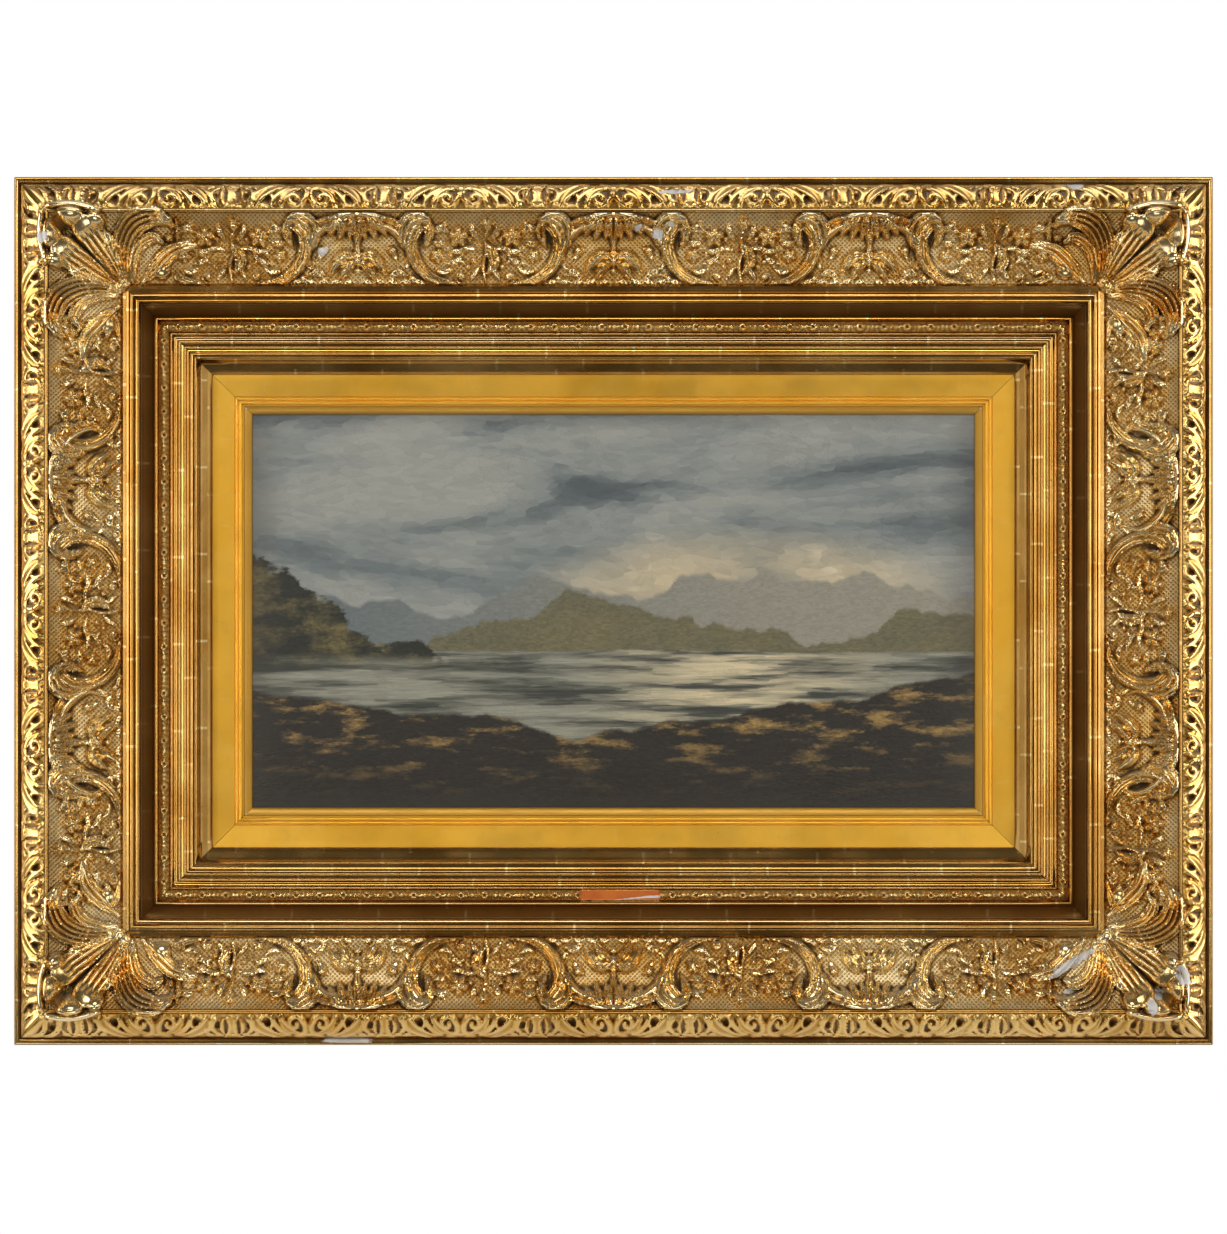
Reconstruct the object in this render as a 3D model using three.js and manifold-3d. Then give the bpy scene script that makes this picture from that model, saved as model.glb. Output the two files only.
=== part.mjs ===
// A gilt picture frame in the deep-cove manner of the late nineteenth century, with its painting.
// From the outside in: four mitred outer rails that carry scroll-and-leaf ornament, four leaf castings
// over the mitres, a four-piece sight frame, a flat four-piece liner, and a canvas on its stretcher.
//
// Millimetres. +X is to the right, +Z is up, and the picture faces -Y, with the wall on the plane Y = 0.
// The origin is the middle of the top rail's flat back strip, where the frame lies against the wall.
//
// Each rail is drawn in its own terms: s runs along the rail from its middle, w is the distance in from
// the frame's outer edge, and d is the height above the wall. The four rails are one drawing, turned.
import * as THREE from "three";
import { mergeVertices } from "three/addons/utils/BufferGeometryUtils.js";
import Module from "manifold-3d";

const wasm = await Module();
wasm.setup();

// ---------------------------------------------------------------- driving dimensions
const FRAME_WIDTH = 1116;
const FRAME_HEIGHT = 808;
const JOINT_GAP = 0.2; // each mitred end stands back by this much
const SEAT_GAP = 0.3; // between two pieces that touch

const SIDE_HEIGHT = 58; // the plain outer side, above the wall
const BACK_STRIP = 26; // width of the flat strip that lies against the wall
const LIP_OUTER = 31.6; // the narrow crest fillet between the outer band and the cove
const LIP_INNER = 34.6;
const LIP_HEIGHT = 96;
const COVE_START = 92; // height of the cove under the lip
const COVE_END = 64; // height of the cove at its inner edge
const COVE_INNER = 101;
const KNOB_RISE = 18; // a corner's curled leaf tips stand out past the lip by most of this
const NOSING_INNER = 118; // the outer frame's sight edge
const REBATE_OUTER = 112; // the sight frame stands in the outer frame from here
const SIGHT_TOP = 40; // height of the sight frame where it goes under the outer frame
const SIGHT_INNER = 183.2;
const LINER_TOP = 29.3;
const LINER_OUTER = 176.4;
const LINER_INNER = 220;
const LINER_FALL = 2.8; // the liner's flat slopes down to the picture by this much
const CANVAS_WIDTH = 686; // a 27 by 15 inch canvas
const CANVAS_HEIGHT = 381;
const CANVAS_FACE = 20.6;
const CANVAS_THICK = 0.8;
const STRETCHER_BACK = 2;
const STRETCHER_BAR = 45;

const LONG_PITCH = 237.6; // arch to arch along the top and bottom rails
const SHORT_PITCH = 243.7; // arch to arch along the side rails
const LONG_END = 354; // the end half-cartouches, from the rail's middle
const SHORT_END = 222;
const BAND_PITCH = { long: 141.5, short: 136.7 }; // palmette to palmette on the outer band

// ---------------------------------------------------------------- small tools
// A closed mesh as a solid, and back again.
function toSolid(geometry) {
  const bare = geometry.clone();
  bare.deleteAttribute("normal");
  bare.deleteAttribute("uv");
  const merged = mergeVertices(bare, 1e-4);
  return new wasm.Manifold(
    new wasm.Mesh({
      numProp: 3,
      vertProperties: new Float32Array(merged.attributes.position.array),
      triVerts: new Uint32Array(merged.index.array),
    }),
  );
}

function toGeometry(solid) {
  const mesh = solid.getMesh();
  return new THREE.BufferGeometry()
    .setAttribute("position", new THREE.BufferAttribute(mesh.vertProperties, 3))
    .setIndex(new THREE.BufferAttribute(mesh.triVerts, 1));
}

const joinAll = (solids) => wasm.Manifold.union(solids);

// A section drawn in (w, d), extruded between two ends whose places along the rail depend on w.
function extrudeBetween(section, from, to) {
  const shape = new THREE.Shape(section.map(([w, d]) => new THREE.Vector2(w, d)));
  const geometry = new THREE.ExtrudeGeometry(shape, { depth: 1, bevelEnabled: false });
  const position = geometry.attributes.position;
  for (let i = 0; i < position.count; i++) {
    const [w, d, end] = [position.getX(i), position.getY(i), position.getZ(i)];
    position.setXYZ(i, end < 0.5 ? from(w) : to(w), w, d);
  }
  return outward(geometry);
}

function flipped(geometry) {
  const turned = mergeVertices(geometry, 1e-4);
  const index = turned.index.array;
  for (let i = 0; i < index.length; i += 3) {
    [index[i + 1], index[i + 2]] = [index[i + 2], index[i + 1]];
  }
  return turned;
}

// Makes sure that a solid's faces point out, whichever way round its rings were given.
function outward(geometry) {
  const solid = toSolid(geometry);
  return solid.volume() > 0 ? solid : toSolid(flipped(geometry));
}

// ---------------------------------------------------------------- sections
// Points on an arc between two ends: bulge is the height of its middle above the chord.
function arc(from, to, bulge, steps) {
  const points = [];
  const [dw, dd] = [to[0] - from[0], to[1] - from[1]];
  const length = Math.hypot(dw, dd);
  for (let i = 1; i < steps; i++) {
    const t = i / steps;
    const rise = 4 * bulge * t * (1 - t);
    points.push([from[0] + dw * t - (dd / length) * rise, from[1] + dd * t + (dw / length) * rise]);
  }
  return points;
}

// Height of the cove at distance w: steep under the lip, level at the inner edge.
function coveHeight(w) {
  const t = Math.min(Math.max((w - LIP_INNER) / (COVE_INNER - LIP_INNER), 0), 1);
  return COVE_END + (COVE_START - COVE_END) * (1 - t) ** 2.1;
}

const BAND_STEPS = 2;
const BAND_FOOT = [7, SIDE_HEIGHT + 1];
const BAND_HEAD = [LIP_OUTER, LIP_HEIGHT - 2];
const COVE_STEPS = 3;

const covePoints = Array.from({ length: COVE_STEPS + 1 }, (_, i) => {
  const w = LIP_INNER + 0.6 + ((COVE_INNER - LIP_INNER - 0.6) * i) / COVE_STEPS;
  return [w, coveHeight(w)];
});

// The front of the outer rail, from the outer side to the nosing.
const outerFront = [
  [0, 0],
  [0, SIDE_HEIGHT - 1.5],
  [1.5, SIDE_HEIGHT],
  [5.2, SIDE_HEIGHT],
  [6, SIDE_HEIGHT - 2.5],
  BAND_FOOT,
  ...arc(BAND_FOOT, BAND_HEAD, 3.5, BAND_STEPS),
  BAND_HEAD,
  [LIP_OUTER + 0.6, LIP_HEIGHT],
  [LIP_INNER, LIP_HEIGHT - 0.6],
  ...covePoints,
  [102.4, 67],
  [107, 67],
  [108, 64],
  ...arc([108, 64], [113, 67], -0.8, 2),
  [113, 67],
  ...arc([113, 67], [NOSING_INNER, 61], 1.6, 3),
  [NOSING_INNER, 61],
];

// The outer rail is a shaped plank on a back strip, hollow behind, with a rebate for the sight frame.
const outerSection = [
  ...outerFront,
  [NOSING_INNER, SIGHT_TOP + SEAT_GAP],
  [REBATE_OUTER, SIGHT_TOP + SEAT_GAP],
  [REBATE_OUTER, 22],
  [88, 22],
  [72, 40],
  [36, 58],
  [BACK_STRIP, 50],
  [BACK_STRIP, 0],
];

// The sight frame: a hollow, a half-round band, small steps and a broad bevel.
const BAND_BED = [134.6, 47.5]; // the small band is cut away to this level where its plate was
const sightSection = [
  [REBATE_OUTER + SEAT_GAP, STRETCHER_BACK],
  [REBATE_OUTER + SEAT_GAP, SIGHT_TOP],
  [119.5, SIGHT_TOP],
  ...arc([119.5, SIGHT_TOP], [130, 50], -2.6, 4),
  [130, 50],
  [133, 50.4],
  BAND_BED,
  ...arc([134.8, 49], [143.6, 48.5], 4.6, 4),
  [143.8, 46.6],
  [145, 49],
  [147, 49],
  ...arc([147, 49], [152.4, 46.5], -1.4, 3),
  [152.4, 46.5],
  [153.6, 48],
  [155.4, 47.6],
  [157, 44.6],
  [158.6, 46.6],
  [160.6, 46],
  ...arc([160.6, 46], [167.4, 41.5], -1.6, 3),
  [167.4, 41.5],
  [169.2, 42.4],
  [170.2, 40.6],
  [SIGHT_INNER, 32],
  [SIGHT_INNER, LINER_TOP + SEAT_GAP],
  [LINER_OUTER - SEAT_GAP, LINER_TOP + SEAT_GAP],
  [LINER_OUTER - SEAT_GAP, STRETCHER_BACK],
];

// The liner: a flat, two small reeds and a bevelled sight edge, rebated behind for the canvas.
const CANVAS_EDGE_W = (FRAME_WIDTH - CANVAS_WIDTH) / 2;
const linerSection = [
  [LINER_OUTER, STRETCHER_BACK + 4],
  [LINER_OUTER, LINER_TOP],
  [184, LINER_TOP],
  [203.5, LINER_TOP - LINER_FALL],
  [204.6, LINER_TOP - LINER_FALL - 1.2],
  [206.4, LINER_TOP - LINER_FALL - 0.4],
  [207.6, LINER_TOP - LINER_FALL - 1.6],
  [209.8, LINER_TOP - LINER_FALL - 0.9],
  [211.6, LINER_TOP - LINER_FALL - 2.3],
  [213, LINER_TOP - LINER_FALL - 1.3],
  [LINER_INNER - 0.6, LINER_TOP - LINER_FALL - 4],
  [LINER_INNER, CANVAS_FACE + 1.4],
  [LINER_INNER, CANVAS_FACE + SEAT_GAP],
  [CANVAS_EDGE_W - 2.5, CANVAS_FACE + SEAT_GAP],
  [CANVAS_EDGE_W - 2.5, STRETCHER_BACK + 4],
];

const stretcherSection = [
  [0, STRETCHER_BACK],
  [0, CANVAS_FACE - CANVAS_THICK - SEAT_GAP],
  [STRETCHER_BAR, CANVAS_FACE - CANVAS_THICK - 2.5],
  [STRETCHER_BAR, STRETCHER_BACK],
];

// A mitred length of moulding: both ends follow the 45 degree line inwards from the outer corner.
function mitredRail(section, length) {
  const end = (side) => (w) => side * (length / 2 - w - JOINT_GAP);
  return extrudeBetween(section, end(-1), end(1));
}

// ---------------------------------------------------------------- ornament
// A raised leaf or scroll that follows a curve: a ridge, wide and high as its two profiles say at
// each share t of its length, on a surface whose height is ground(s, w), with its foot sunk into it.
const FOOT = 3;
function ribbon(curve, width, height, stations, ground) {
  const rings = [];
  for (let i = 0; i <= stations; i++) {
    const t = i / stations;
    const p = curve.getPoint(t);
    const along = curve.getTangent(t);
    const half = width(t) / 2;
    const corner = (share, lift) => {
      const s = p.x - along.y * half * share;
      const w = p.y + along.x * half * share;
      return [s, w, ground(s, w) + lift];
    };
    const top = height(t);
    rings.push([corner(-1, -FOOT), corner(0, top), corner(1, -FOOT)]);
  }
  const count = 3;
  const index = [];
  for (let r = 0; r < stations; r++) {
    for (let k = 0; k < count; k++) {
      const a = r * count + k;
      const b = r * count + ((k + 1) % count);
      index.push(a, b, b + count, a, b + count, a + count);
    }
  }
  const last = stations * count;
  index.push(0, 2, 1, last, last + 1, last + 2);
  const geometry = new THREE.BufferGeometry();
  geometry.setAttribute("position", new THREE.Float32BufferAttribute(rings.flat(2), 3));
  geometry.setIndex(index);
  return outward(geometry);
}

const bezier = (...p) =>
  new THREE.CubicBezierCurve(...p.map(([s, w]) => new THREE.Vector2(s, w)));
const taper = (root, middle, tip) => (t) =>
  t < 0.5 ? root + (middle - root) * Math.sin(Math.PI * t) : tip + (middle - tip) * Math.sin(Math.PI * t);

// A low flat-topped boss, for flowers, berries and knobs.
function boss(s, w, radius, height, ground) {
  const rise = height + FOOT;
  const dome = new THREE.LatheGeometry(
    [
      new THREE.Vector2(0, 0),
      new THREE.Vector2(radius, 0),
      new THREE.Vector2(radius * 0.7, rise),
      new THREE.Vector2(0, rise),
    ],
    5,
  );
  dome.rotateX(Math.PI / 2); // the lathe turns about its own Y, and d is the third coordinate here
  dome.translate(s, w, ground(s, w) - FOOT);
  return outward(dome);
}

const onCove = (_s, w) => coveHeight(w);

// Height of the outer band at distance w.
const bandLine = [BAND_FOOT, ...arc(BAND_FOOT, BAND_HEAD, 3.5, BAND_STEPS), BAND_HEAD];
function onBand(_s, w) {
  const clamped = Math.min(Math.max(w, BAND_FOOT[0]), BAND_HEAD[0]);
  const i = Math.max(bandLine.findIndex(([x]) => x >= clamped), 1);
  const [a, b] = [bandLine[i - 1], bandLine[i]];
  return a[1] + ((b[1] - a[1]) * (clamped - a[0])) / (b[0] - a[0]);
}

// An arch in the cove: two arms that rise to a leaf crest under the lip, over a palmette.
function arch(centre) {
  const parts = [];
  for (const side of [-1, 1]) {
    const at = (s, w) => [centre + side * s, w];
    const arm = bezier(at(50, 80), at(44, 60), at(34, 45), at(8, 46));
    parts.push(ribbon(arm, taper(9, 16, 14), taper(6, 12, 13), 3, onCove));
    const petal = bezier(at(-2, 73), at(7, 74), at(16, 82), at(25, 92));
    parts.push(ribbon(petal, taper(13, 12, 5), taper(9, 8, 4), 1, onCove));
  }
  const crest = bezier([centre, 40], [centre, 48], [centre, 56], [centre, 65]);
  parts.push(ribbon(crest, taper(26, 18, 5), taper(13, 14, 6), 1, onCove));
  parts.push(boss(centre, 79, 5.5, 9, onCove));
  return parts;
}

// One half of a cartouche: a C-scroll that closes round flowers, leaves and a berry.
function halfCartouche(centre, side) {
  const at = (s, w) => [centre + side * s, w];
  const scroll = bezier(at(42, 46), at(84, 46), at(66, 106), at(18, 100));
  const bud = bezier(at(64, 40), at(66, 46), at(64, 56), at(58, 70));
  return [
    ribbon(scroll, taper(16, 14, 9), taper(13, 11, 6), 4, onCove),
    ribbon(bud, taper(16, 14, 6), taper(12, 14, 8), 1, onCove),
    boss(centre + side * 27, 66, 14, 10, onCove),
  ];
}

function cartoucheStem(centre) {
  const stem = bezier([centre, 52], [centre, 66], [centre, 80], [centre, 96]);
  return ribbon(stem, taper(9, 8, 11), taper(9, 9, 8), 1, onCove);
}

// The outer band: a palmette between two pairs of nested arcs, and a waisted bar half a pitch on.
const acrossBand = (centre) => bezier([centre, 9], [centre, 15], [centre, 22], [centre, 30]);

function bandPalmette(centre) {
  return ribbon(acrossBand(centre), taper(18, 12, 24), taper(2, 5, 4), 1, onBand);
}

function bandArc(centre, side) {
  const at = (s, w) => [centre + side * s, w];
  const curve = bezier(at(16, 29), at(42, 29), at(44, 12), at(20, 10));
  return ribbon(curve, taper(6, 9, 6), taper(3, 5, 3), 2, onBand);
}

function bandBar(centre) {
  return ribbon(acrossBand(centre), taper(14, 8, 14), taper(3, 5, 3), 2, onBand);
}

// All the band's ornament on one rail. The corners are left to the leaf castings.
function bandOrnament(length, pitch) {
  const parts = [];
  const reach = length / 2 - 100;
  for (let k = -8; k <= 8; k++) {
    const centre = (k * pitch) / 2;
    if (Math.abs(centre) > reach) continue;
    if (k % 2 === 0) {
      parts.push(bandPalmette(centre), bandArc(centre, -1), bandArc(centre, 1));
    } else {
      parts.push(bandBar(centre));
    }
  }
  return parts;
}

// The cove's ornament on one rail: arches one pitch apart with cartouches between them, and half a
// cartouche at each end, before the corner leaves.
function coveOrnament(arches, pitch, end) {
  const parts = [];
  const first = (-(arches - 1) * pitch) / 2;
  for (let k = 0; k < arches; k++) parts.push(...arch(first + k * pitch));
  for (let k = 0; k <= arches; k++) {
    const centre = k === 0 ? -end : k === arches ? end : first + (k - 0.5) * pitch;
    if (k > 0) parts.push(...halfCartouche(centre, -1));
    if (k < arches) parts.push(...halfCartouche(centre, 1));
    parts.push(cartoucheStem(centre));
  }
  return parts;
}

// ---------------------------------------------------------------- the corner castings
// A corner is drawn from the frame's outer corner: a runs along one rail, b along the other, and the
// ground is the mitred moulding, whose height depends on the nearer edge.
function onCorner(a, b) {
  const w = Math.min(a, b);
  if (w < LIP_OUTER) return onBand(0, w);
  return w < LIP_INNER ? LIP_HEIGHT : coveHeight(w);
}

// The mitred moulding's own front, lifted by the seat gap: what a casting is cut to.
function cornerGround() {
  const lifted = outerFront.slice(1).map(([w, d]) => [w, d + SEAT_GAP]);
  const [outside, inside] = [-20, NOSING_INNER + 20];
  const top = SIDE_HEIGHT + SEAT_GAP;
  const section = [[outside, 20], [outside, top], ...lifted, [inside, 61], [inside, 20]];
  const reach = 260;
  const oneWay = extrudeBetween(section, (w) => w, () => reach);
  const otherWay = oneWay.transform([0, 1, 0, 0, 1, 0, 0, 0, 0, 0, 1, 0, 0, 0, 0, 1]);
  return joinAll([oneWay, otherWay]);
}

function cornerCasting() {
  const parts = [boss(98, 98, 13, 7, onCorner)];
  for (const turn of [false, true]) {
    const at = (a, b) => (turn ? [b, a] : [a, b]);
    // The tip leaf runs out beside the mitre and curls over the lip in a knob. A broad leaf stands
    // next to it, and the side leaf sweeps up to the lip and turns back along the rail.
    const tipLeaf = bezier(at(102, 98), at(84, 74), at(74, 58), at(54, 38));
    const broadLeaf = bezier(at(104, 98), at(98, 78), at(94, 62), at(92, 46));
    const sideLeaf = bezier(at(108, 98), at(106, 37), at(150, 37), at(164, 60));
    parts.push(
      ribbon(tipLeaf, taper(14, 22, 18), taper(9, 16, 12), 3, onCorner),
      boss(...at(57, 38), 13, KNOB_RISE, onCorner),
      ribbon(broadLeaf, taper(11, 24, 9), taper(8, 12, 9), 2, onCorner),
      ribbon(sideLeaf, taper(12, 26, 8), taper(8, 17, 10), 4, onCorner),
    );
  }
  return joinAll(parts).subtract(cornerGround());
}

// ---------------------------------------------------------------- materials
function finish(rgb, roughness, metalness) {
  return new THREE.MeshStandardMaterial({ color: new THREE.Color(...rgb), roughness, metalness });
}
const gilding = () => finish([0.72, 0.5, 0.19], 0.35, 1);
const linerGold = () => finish([0.78, 0.55, 0.2], 0.55, 0.8);
const paint = () => finish([0.3, 0.32, 0.28], 0.5, 0);
const bareWood = () => finish([0.42, 0.28, 0.16], 0.8, 0);

// ---------------------------------------------------------------- assembly
const painting = new THREE.Group();
painting.name = "framed_painting";
// The frame's centre hangs below the mount, which is the middle of the top back strip.
const centred = new THREE.Group();
centred.position.z = -(FRAME_HEIGHT / 2 - BACK_STRIP / 2);
painting.add(centred);

const longRail = {
  length: FRAME_WIDTH,
  half: FRAME_HEIGHT / 2, // from the frame's centre out to the rail's outer edge
  arches: 3,
  pitch: LONG_PITCH,
  end: LONG_END,
  band: BAND_PITCH.long,
  barLength: CANVAS_WIDTH,
  barHalf: CANVAS_HEIGHT / 2,
};
const shortRail = {
  length: FRAME_HEIGHT,
  half: FRAME_WIDTH / 2,
  arches: 2,
  pitch: SHORT_PITCH,
  end: SHORT_END,
  band: BAND_PITCH.short,
  barLength: CANVAS_HEIGHT,
  barHalf: CANVAS_WIDTH / 2,
};
// Each rail is the top one, turned by quarter turns about the frame's centre.
const sides = [
  { name: "top", turn: 0, ...longRail },
  { name: "right", turn: 1, ...shortRail },
  { name: "bottom", turn: 2, ...longRail },
  { name: "left", turn: 3, ...shortRail },
];

// From a rail's own (s, w, d) to (x, y, z), with the frame's centre at the origin and the rail on top.
function place(solid, half) {
  return toGeometry(solid.transform([1, 0, 0, 0, 0, 0, -1, 0, 0, -1, 0, 0, 0, 0, half, 1]));
}

function addTurned(name, geometry, material, turn) {
  const mesh = new THREE.Mesh(geometry, material);
  mesh.name = name;
  mesh.rotation.y = (turn * Math.PI) / 2;
  centred.add(mesh);
}

// Where the name plate was, the small band of the bottom sight rail is gone.
const PLATE_LENGTH = 75;
const PLATE_CENTRE = -6;
function plateScar() {
  const [depth, width] = [12, 11.6];
  const block = new THREE.BoxGeometry(PLATE_LENGTH, width, depth);
  block.translate(PLATE_CENTRE, 139.2, BAND_BED[1] + depth / 2);
  return toSolid(block);
}

for (const side of sides) {
  const outer = joinAll([
    mitredRail(outerSection, side.length),
    ...coveOrnament(side.arches, side.pitch, side.end),
    ...bandOrnament(side.length, side.band),
  ]);
  addTurned(`outer_rail_${side.name}`, place(outer, side.half), gilding(), side.turn);

  let sight = mitredRail(sightSection, side.length);
  if (side.name === "bottom") sight = sight.subtract(plateScar());
  addTurned(`sight_rail_${side.name}`, place(sight, side.half), gilding(), side.turn);

  const liner = mitredRail(linerSection, side.length);
  addTurned(`liner_${side.name}`, place(liner, side.half), linerGold(), side.turn);

  // A stretcher bar is drawn from the canvas's edge, not from the frame's.
  const bar = mitredRail(stretcherSection, side.barLength);
  addTurned(`stretcher_${side.name}`, place(bar, side.barHalf), bareWood(), side.turn);
}

const corners = [
  { name: "top_left", x: -1, z: 1, turn: 0 },
  { name: "top_right", x: 1, z: 1, turn: 1 },
  { name: "bottom_right", x: 1, z: -1, turn: 2 },
  { name: "bottom_left", x: -1, z: -1, turn: 3 },
];
const casting = cornerCasting();
for (const corner of corners) {
  const mesh = new THREE.Mesh(place(casting, 0), gilding());
  mesh.name = `corner_leaf_${corner.name}`;
  mesh.position.set((corner.x * FRAME_WIDTH) / 2, 0, (corner.z * FRAME_HEIGHT) / 2);
  mesh.rotation.y = (corner.turn * Math.PI) / 2;
  centred.add(mesh);
}

const canvasSheet = new THREE.BoxGeometry(CANVAS_WIDTH, CANVAS_THICK, CANVAS_HEIGHT);
const canvas = new THREE.Mesh(canvasSheet, paint());
canvas.name = "canvas";
canvas.position.y = -(CANVAS_FACE - CANVAS_THICK / 2);
centred.add(canvas);

const crossbarLength = CANVAS_HEIGHT - 2 * STRETCHER_BAR - 2 * SEAT_GAP;
const crossbarDepth = CANVAS_FACE - CANVAS_THICK - 2.5 - STRETCHER_BACK;
const crossbarBox = new THREE.BoxGeometry(STRETCHER_BAR, crossbarDepth, crossbarLength);
const crossbar = new THREE.Mesh(crossbarBox, bareWood());
crossbar.name = "stretcher_crossbar";
crossbar.position.y = -(STRETCHER_BACK + crossbarDepth / 2);
centred.add(crossbar);

export default painting;
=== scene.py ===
# %% [markdown]
# # A gilt picture frame in the deep-cove manner, with its painting
# A frame of this kind is built like a stage. Plain softwood mouldings are mitred at the corners,
# one inside another, and the richness is laid on: soft composition is pressed in carved moulds,
# glued on the wood while it is warm, covered with red clay and gilded. The same few moulds repeat
# all round. We follow that craft. Each mould is a height map that we draw once with numpy, and
# each rail is a grid of points that carries the maps along it.

import math

import bpy
import numpy as np
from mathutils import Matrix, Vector


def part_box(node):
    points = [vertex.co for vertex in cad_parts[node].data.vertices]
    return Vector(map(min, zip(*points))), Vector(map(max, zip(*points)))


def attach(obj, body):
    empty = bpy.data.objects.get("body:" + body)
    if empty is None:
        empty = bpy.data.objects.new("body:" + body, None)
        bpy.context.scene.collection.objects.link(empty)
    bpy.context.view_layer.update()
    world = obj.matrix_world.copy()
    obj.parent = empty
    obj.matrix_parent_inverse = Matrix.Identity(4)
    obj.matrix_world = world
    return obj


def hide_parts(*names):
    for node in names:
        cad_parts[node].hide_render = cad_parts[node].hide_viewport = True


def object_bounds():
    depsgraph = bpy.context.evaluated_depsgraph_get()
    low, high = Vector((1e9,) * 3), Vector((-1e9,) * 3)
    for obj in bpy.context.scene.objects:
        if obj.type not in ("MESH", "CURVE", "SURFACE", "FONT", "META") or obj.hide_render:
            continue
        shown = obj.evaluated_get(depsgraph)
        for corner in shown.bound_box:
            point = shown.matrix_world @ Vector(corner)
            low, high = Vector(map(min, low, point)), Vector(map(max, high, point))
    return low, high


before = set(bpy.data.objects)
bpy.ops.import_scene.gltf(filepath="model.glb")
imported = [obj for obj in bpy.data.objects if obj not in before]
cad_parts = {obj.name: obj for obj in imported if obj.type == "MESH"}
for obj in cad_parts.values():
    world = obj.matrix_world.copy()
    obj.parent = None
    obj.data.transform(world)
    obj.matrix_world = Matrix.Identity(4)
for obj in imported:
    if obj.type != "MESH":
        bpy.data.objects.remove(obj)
cad_box = [list(corner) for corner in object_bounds()]
print("the whole frame, in metres:", cad_box)

# %% [markdown]
# ## The rails' own terms
# It is easiest to draw a rail flat on the bench. s runs along the rail from its middle, w is the
# distance in from the frame's outer edge, and d is the height above the wall, all in millimetres.
# The four rails are one drawing, turned by quarter turns about the middle of the canvas.

# %% From rail terms to the room
canvas_low, canvas_high = [np.array(corner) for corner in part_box("canvas")]
middle = 1000 * (canvas_low + canvas_high) / 2
WIDTH = 1000 * (cad_box[1][0] - cad_box[0][0])
HEIGHT = 1000 * (cad_box[1][2] - cad_box[0][2])
JOINT_GAP = 0.2
LONG = {"length": WIDTH, "half": HEIGHT / 2}
SHORT = {"length": HEIGHT, "half": WIDTH / 2}
SIDES = {"top": (0, LONG), "right": (1, SHORT), "bottom": (2, LONG), "left": (3, SHORT)}


def room(s, w, d, turn, half):
    """Rail terms to metres. The top rail has x = s, z = half - w and y = -d, and each quarter
    turn swaps them: x becomes z and z becomes -x."""
    x, z = s, half - w
    for _ in range(turn):
        x, z = z, -x
    return np.stack([x + middle[0], -d, z + middle[2]], axis=-1) / 1000


print(f"frame {WIDTH:.0f} by {HEIGHT:.0f} mm, its middle at {middle.round(1)}")

# %% [markdown]
# ## Height maps for the moulds
# A mould could be modelled as many small solids, but pressed ornament has no undercuts: it has to
# leave its mould. So a height map holds all of it. Everything is drawn with two tools. A stroke
# raises a ridge along a smooth curve, and a boss raises a round form. Where two forms meet, the
# higher one wins, as it does in clay.

# %% The sheet that a mould is drawn on
GRAIN = 0.6  # millimetres between two samples of a map


class Mould:
    """Heights over a stretch of moulding, s along it and w across it."""

    def __init__(self, s_range, w_range):
        self.s0, self.w0 = s_range[0], w_range[0]
        s = np.arange(s_range[0], s_range[1] + GRAIN / 2, GRAIN)
        w = np.arange(w_range[0], w_range[1] + GRAIN / 2, GRAIN)
        self.s, self.w = np.meshgrid(s, w, indexing="ij")
        self.h = np.zeros_like(self.s)

    def window(self, low, high):
        """The slices that cover the corner points low and high, in (s, w)."""
        first = [int((low[0] - self.s0) / GRAIN), int((low[1] - self.w0) / GRAIN)]
        last = [int((high[0] - self.s0) / GRAIN) + 2, int((high[1] - self.w0) / GRAIN) + 2]
        return tuple(slice(max(a, 0), max(b, 0)) for a, b in zip(first, last))

    def mirrored(self):
        """The same mould with its left half copied over its right, heights kept where higher."""
        self.h = np.maximum(self.h, self.h[::-1])
        return self


def smooth(points, steps):
    """A Catmull-Rom curve through the points: each stretch is the cubic that leaves and arrives
    along the line between its neighbours."""
    p = np.array(points, float)
    p = np.vstack([2 * p[0] - p[1], p, 2 * p[-1] - p[-2]])
    t = np.linspace(0, len(p) - 3 - 1e-9, steps)
    i = t.astype(int)
    t = (t - i)[:, None]
    a, b, c, d = p[i], p[i + 1], p[i + 2], p[i + 3]
    return 0.5 * (2 * b + (c - a) * t + (2 * a - 5 * b + 4 * c - d) * t**2 + (3 * b - a - 3 * c + d) * t**3)


def stroke(mould, points, half, rise, section, steps=30):
    """Raises rise(t) * section(x, t) along a curve. t is the share of the way along, and x is the
    distance to the side as a share of the half width half(t)."""
    line = smooth(points, steps)
    reach = 1.05 * max(half(t) for t in np.linspace(0, 1, 9))
    best = np.full(mould.h.shape, np.inf)
    side = np.zeros_like(best)
    share = np.zeros_like(best)
    for k in range(steps - 1):
        a, b = line[k], line[k + 1]
        see = mould.window(np.minimum(a, b) - reach, np.maximum(a, b) + reach)
        along = b - a
        length = max(np.hypot(*along), 1e-6)
        ds, dw = mould.s[see] - a[0], mould.w[see] - a[1]
        t = np.clip((ds * along[0] + dw * along[1]) / length**2, 0, 1)
        away = np.hypot(ds - t * along[0], dw - t * along[1])
        nearer = away < best[see]
        best[see] = np.where(nearer, away, best[see])
        side[see] = np.where(nearer, np.sign(ds * along[1] - dw * along[0]), side[see])
        share[see] = np.where(nearer, (k + t) / (steps - 1), share[see])
    x = np.minimum(best / np.maximum(half(share), 1e-3), 9)
    inside = x < 1
    raised = rise(share) * section(np.where(inside, x * side, 1), share)
    mould.h = np.where(inside, np.maximum(mould.h, raised), mould.h)


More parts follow.
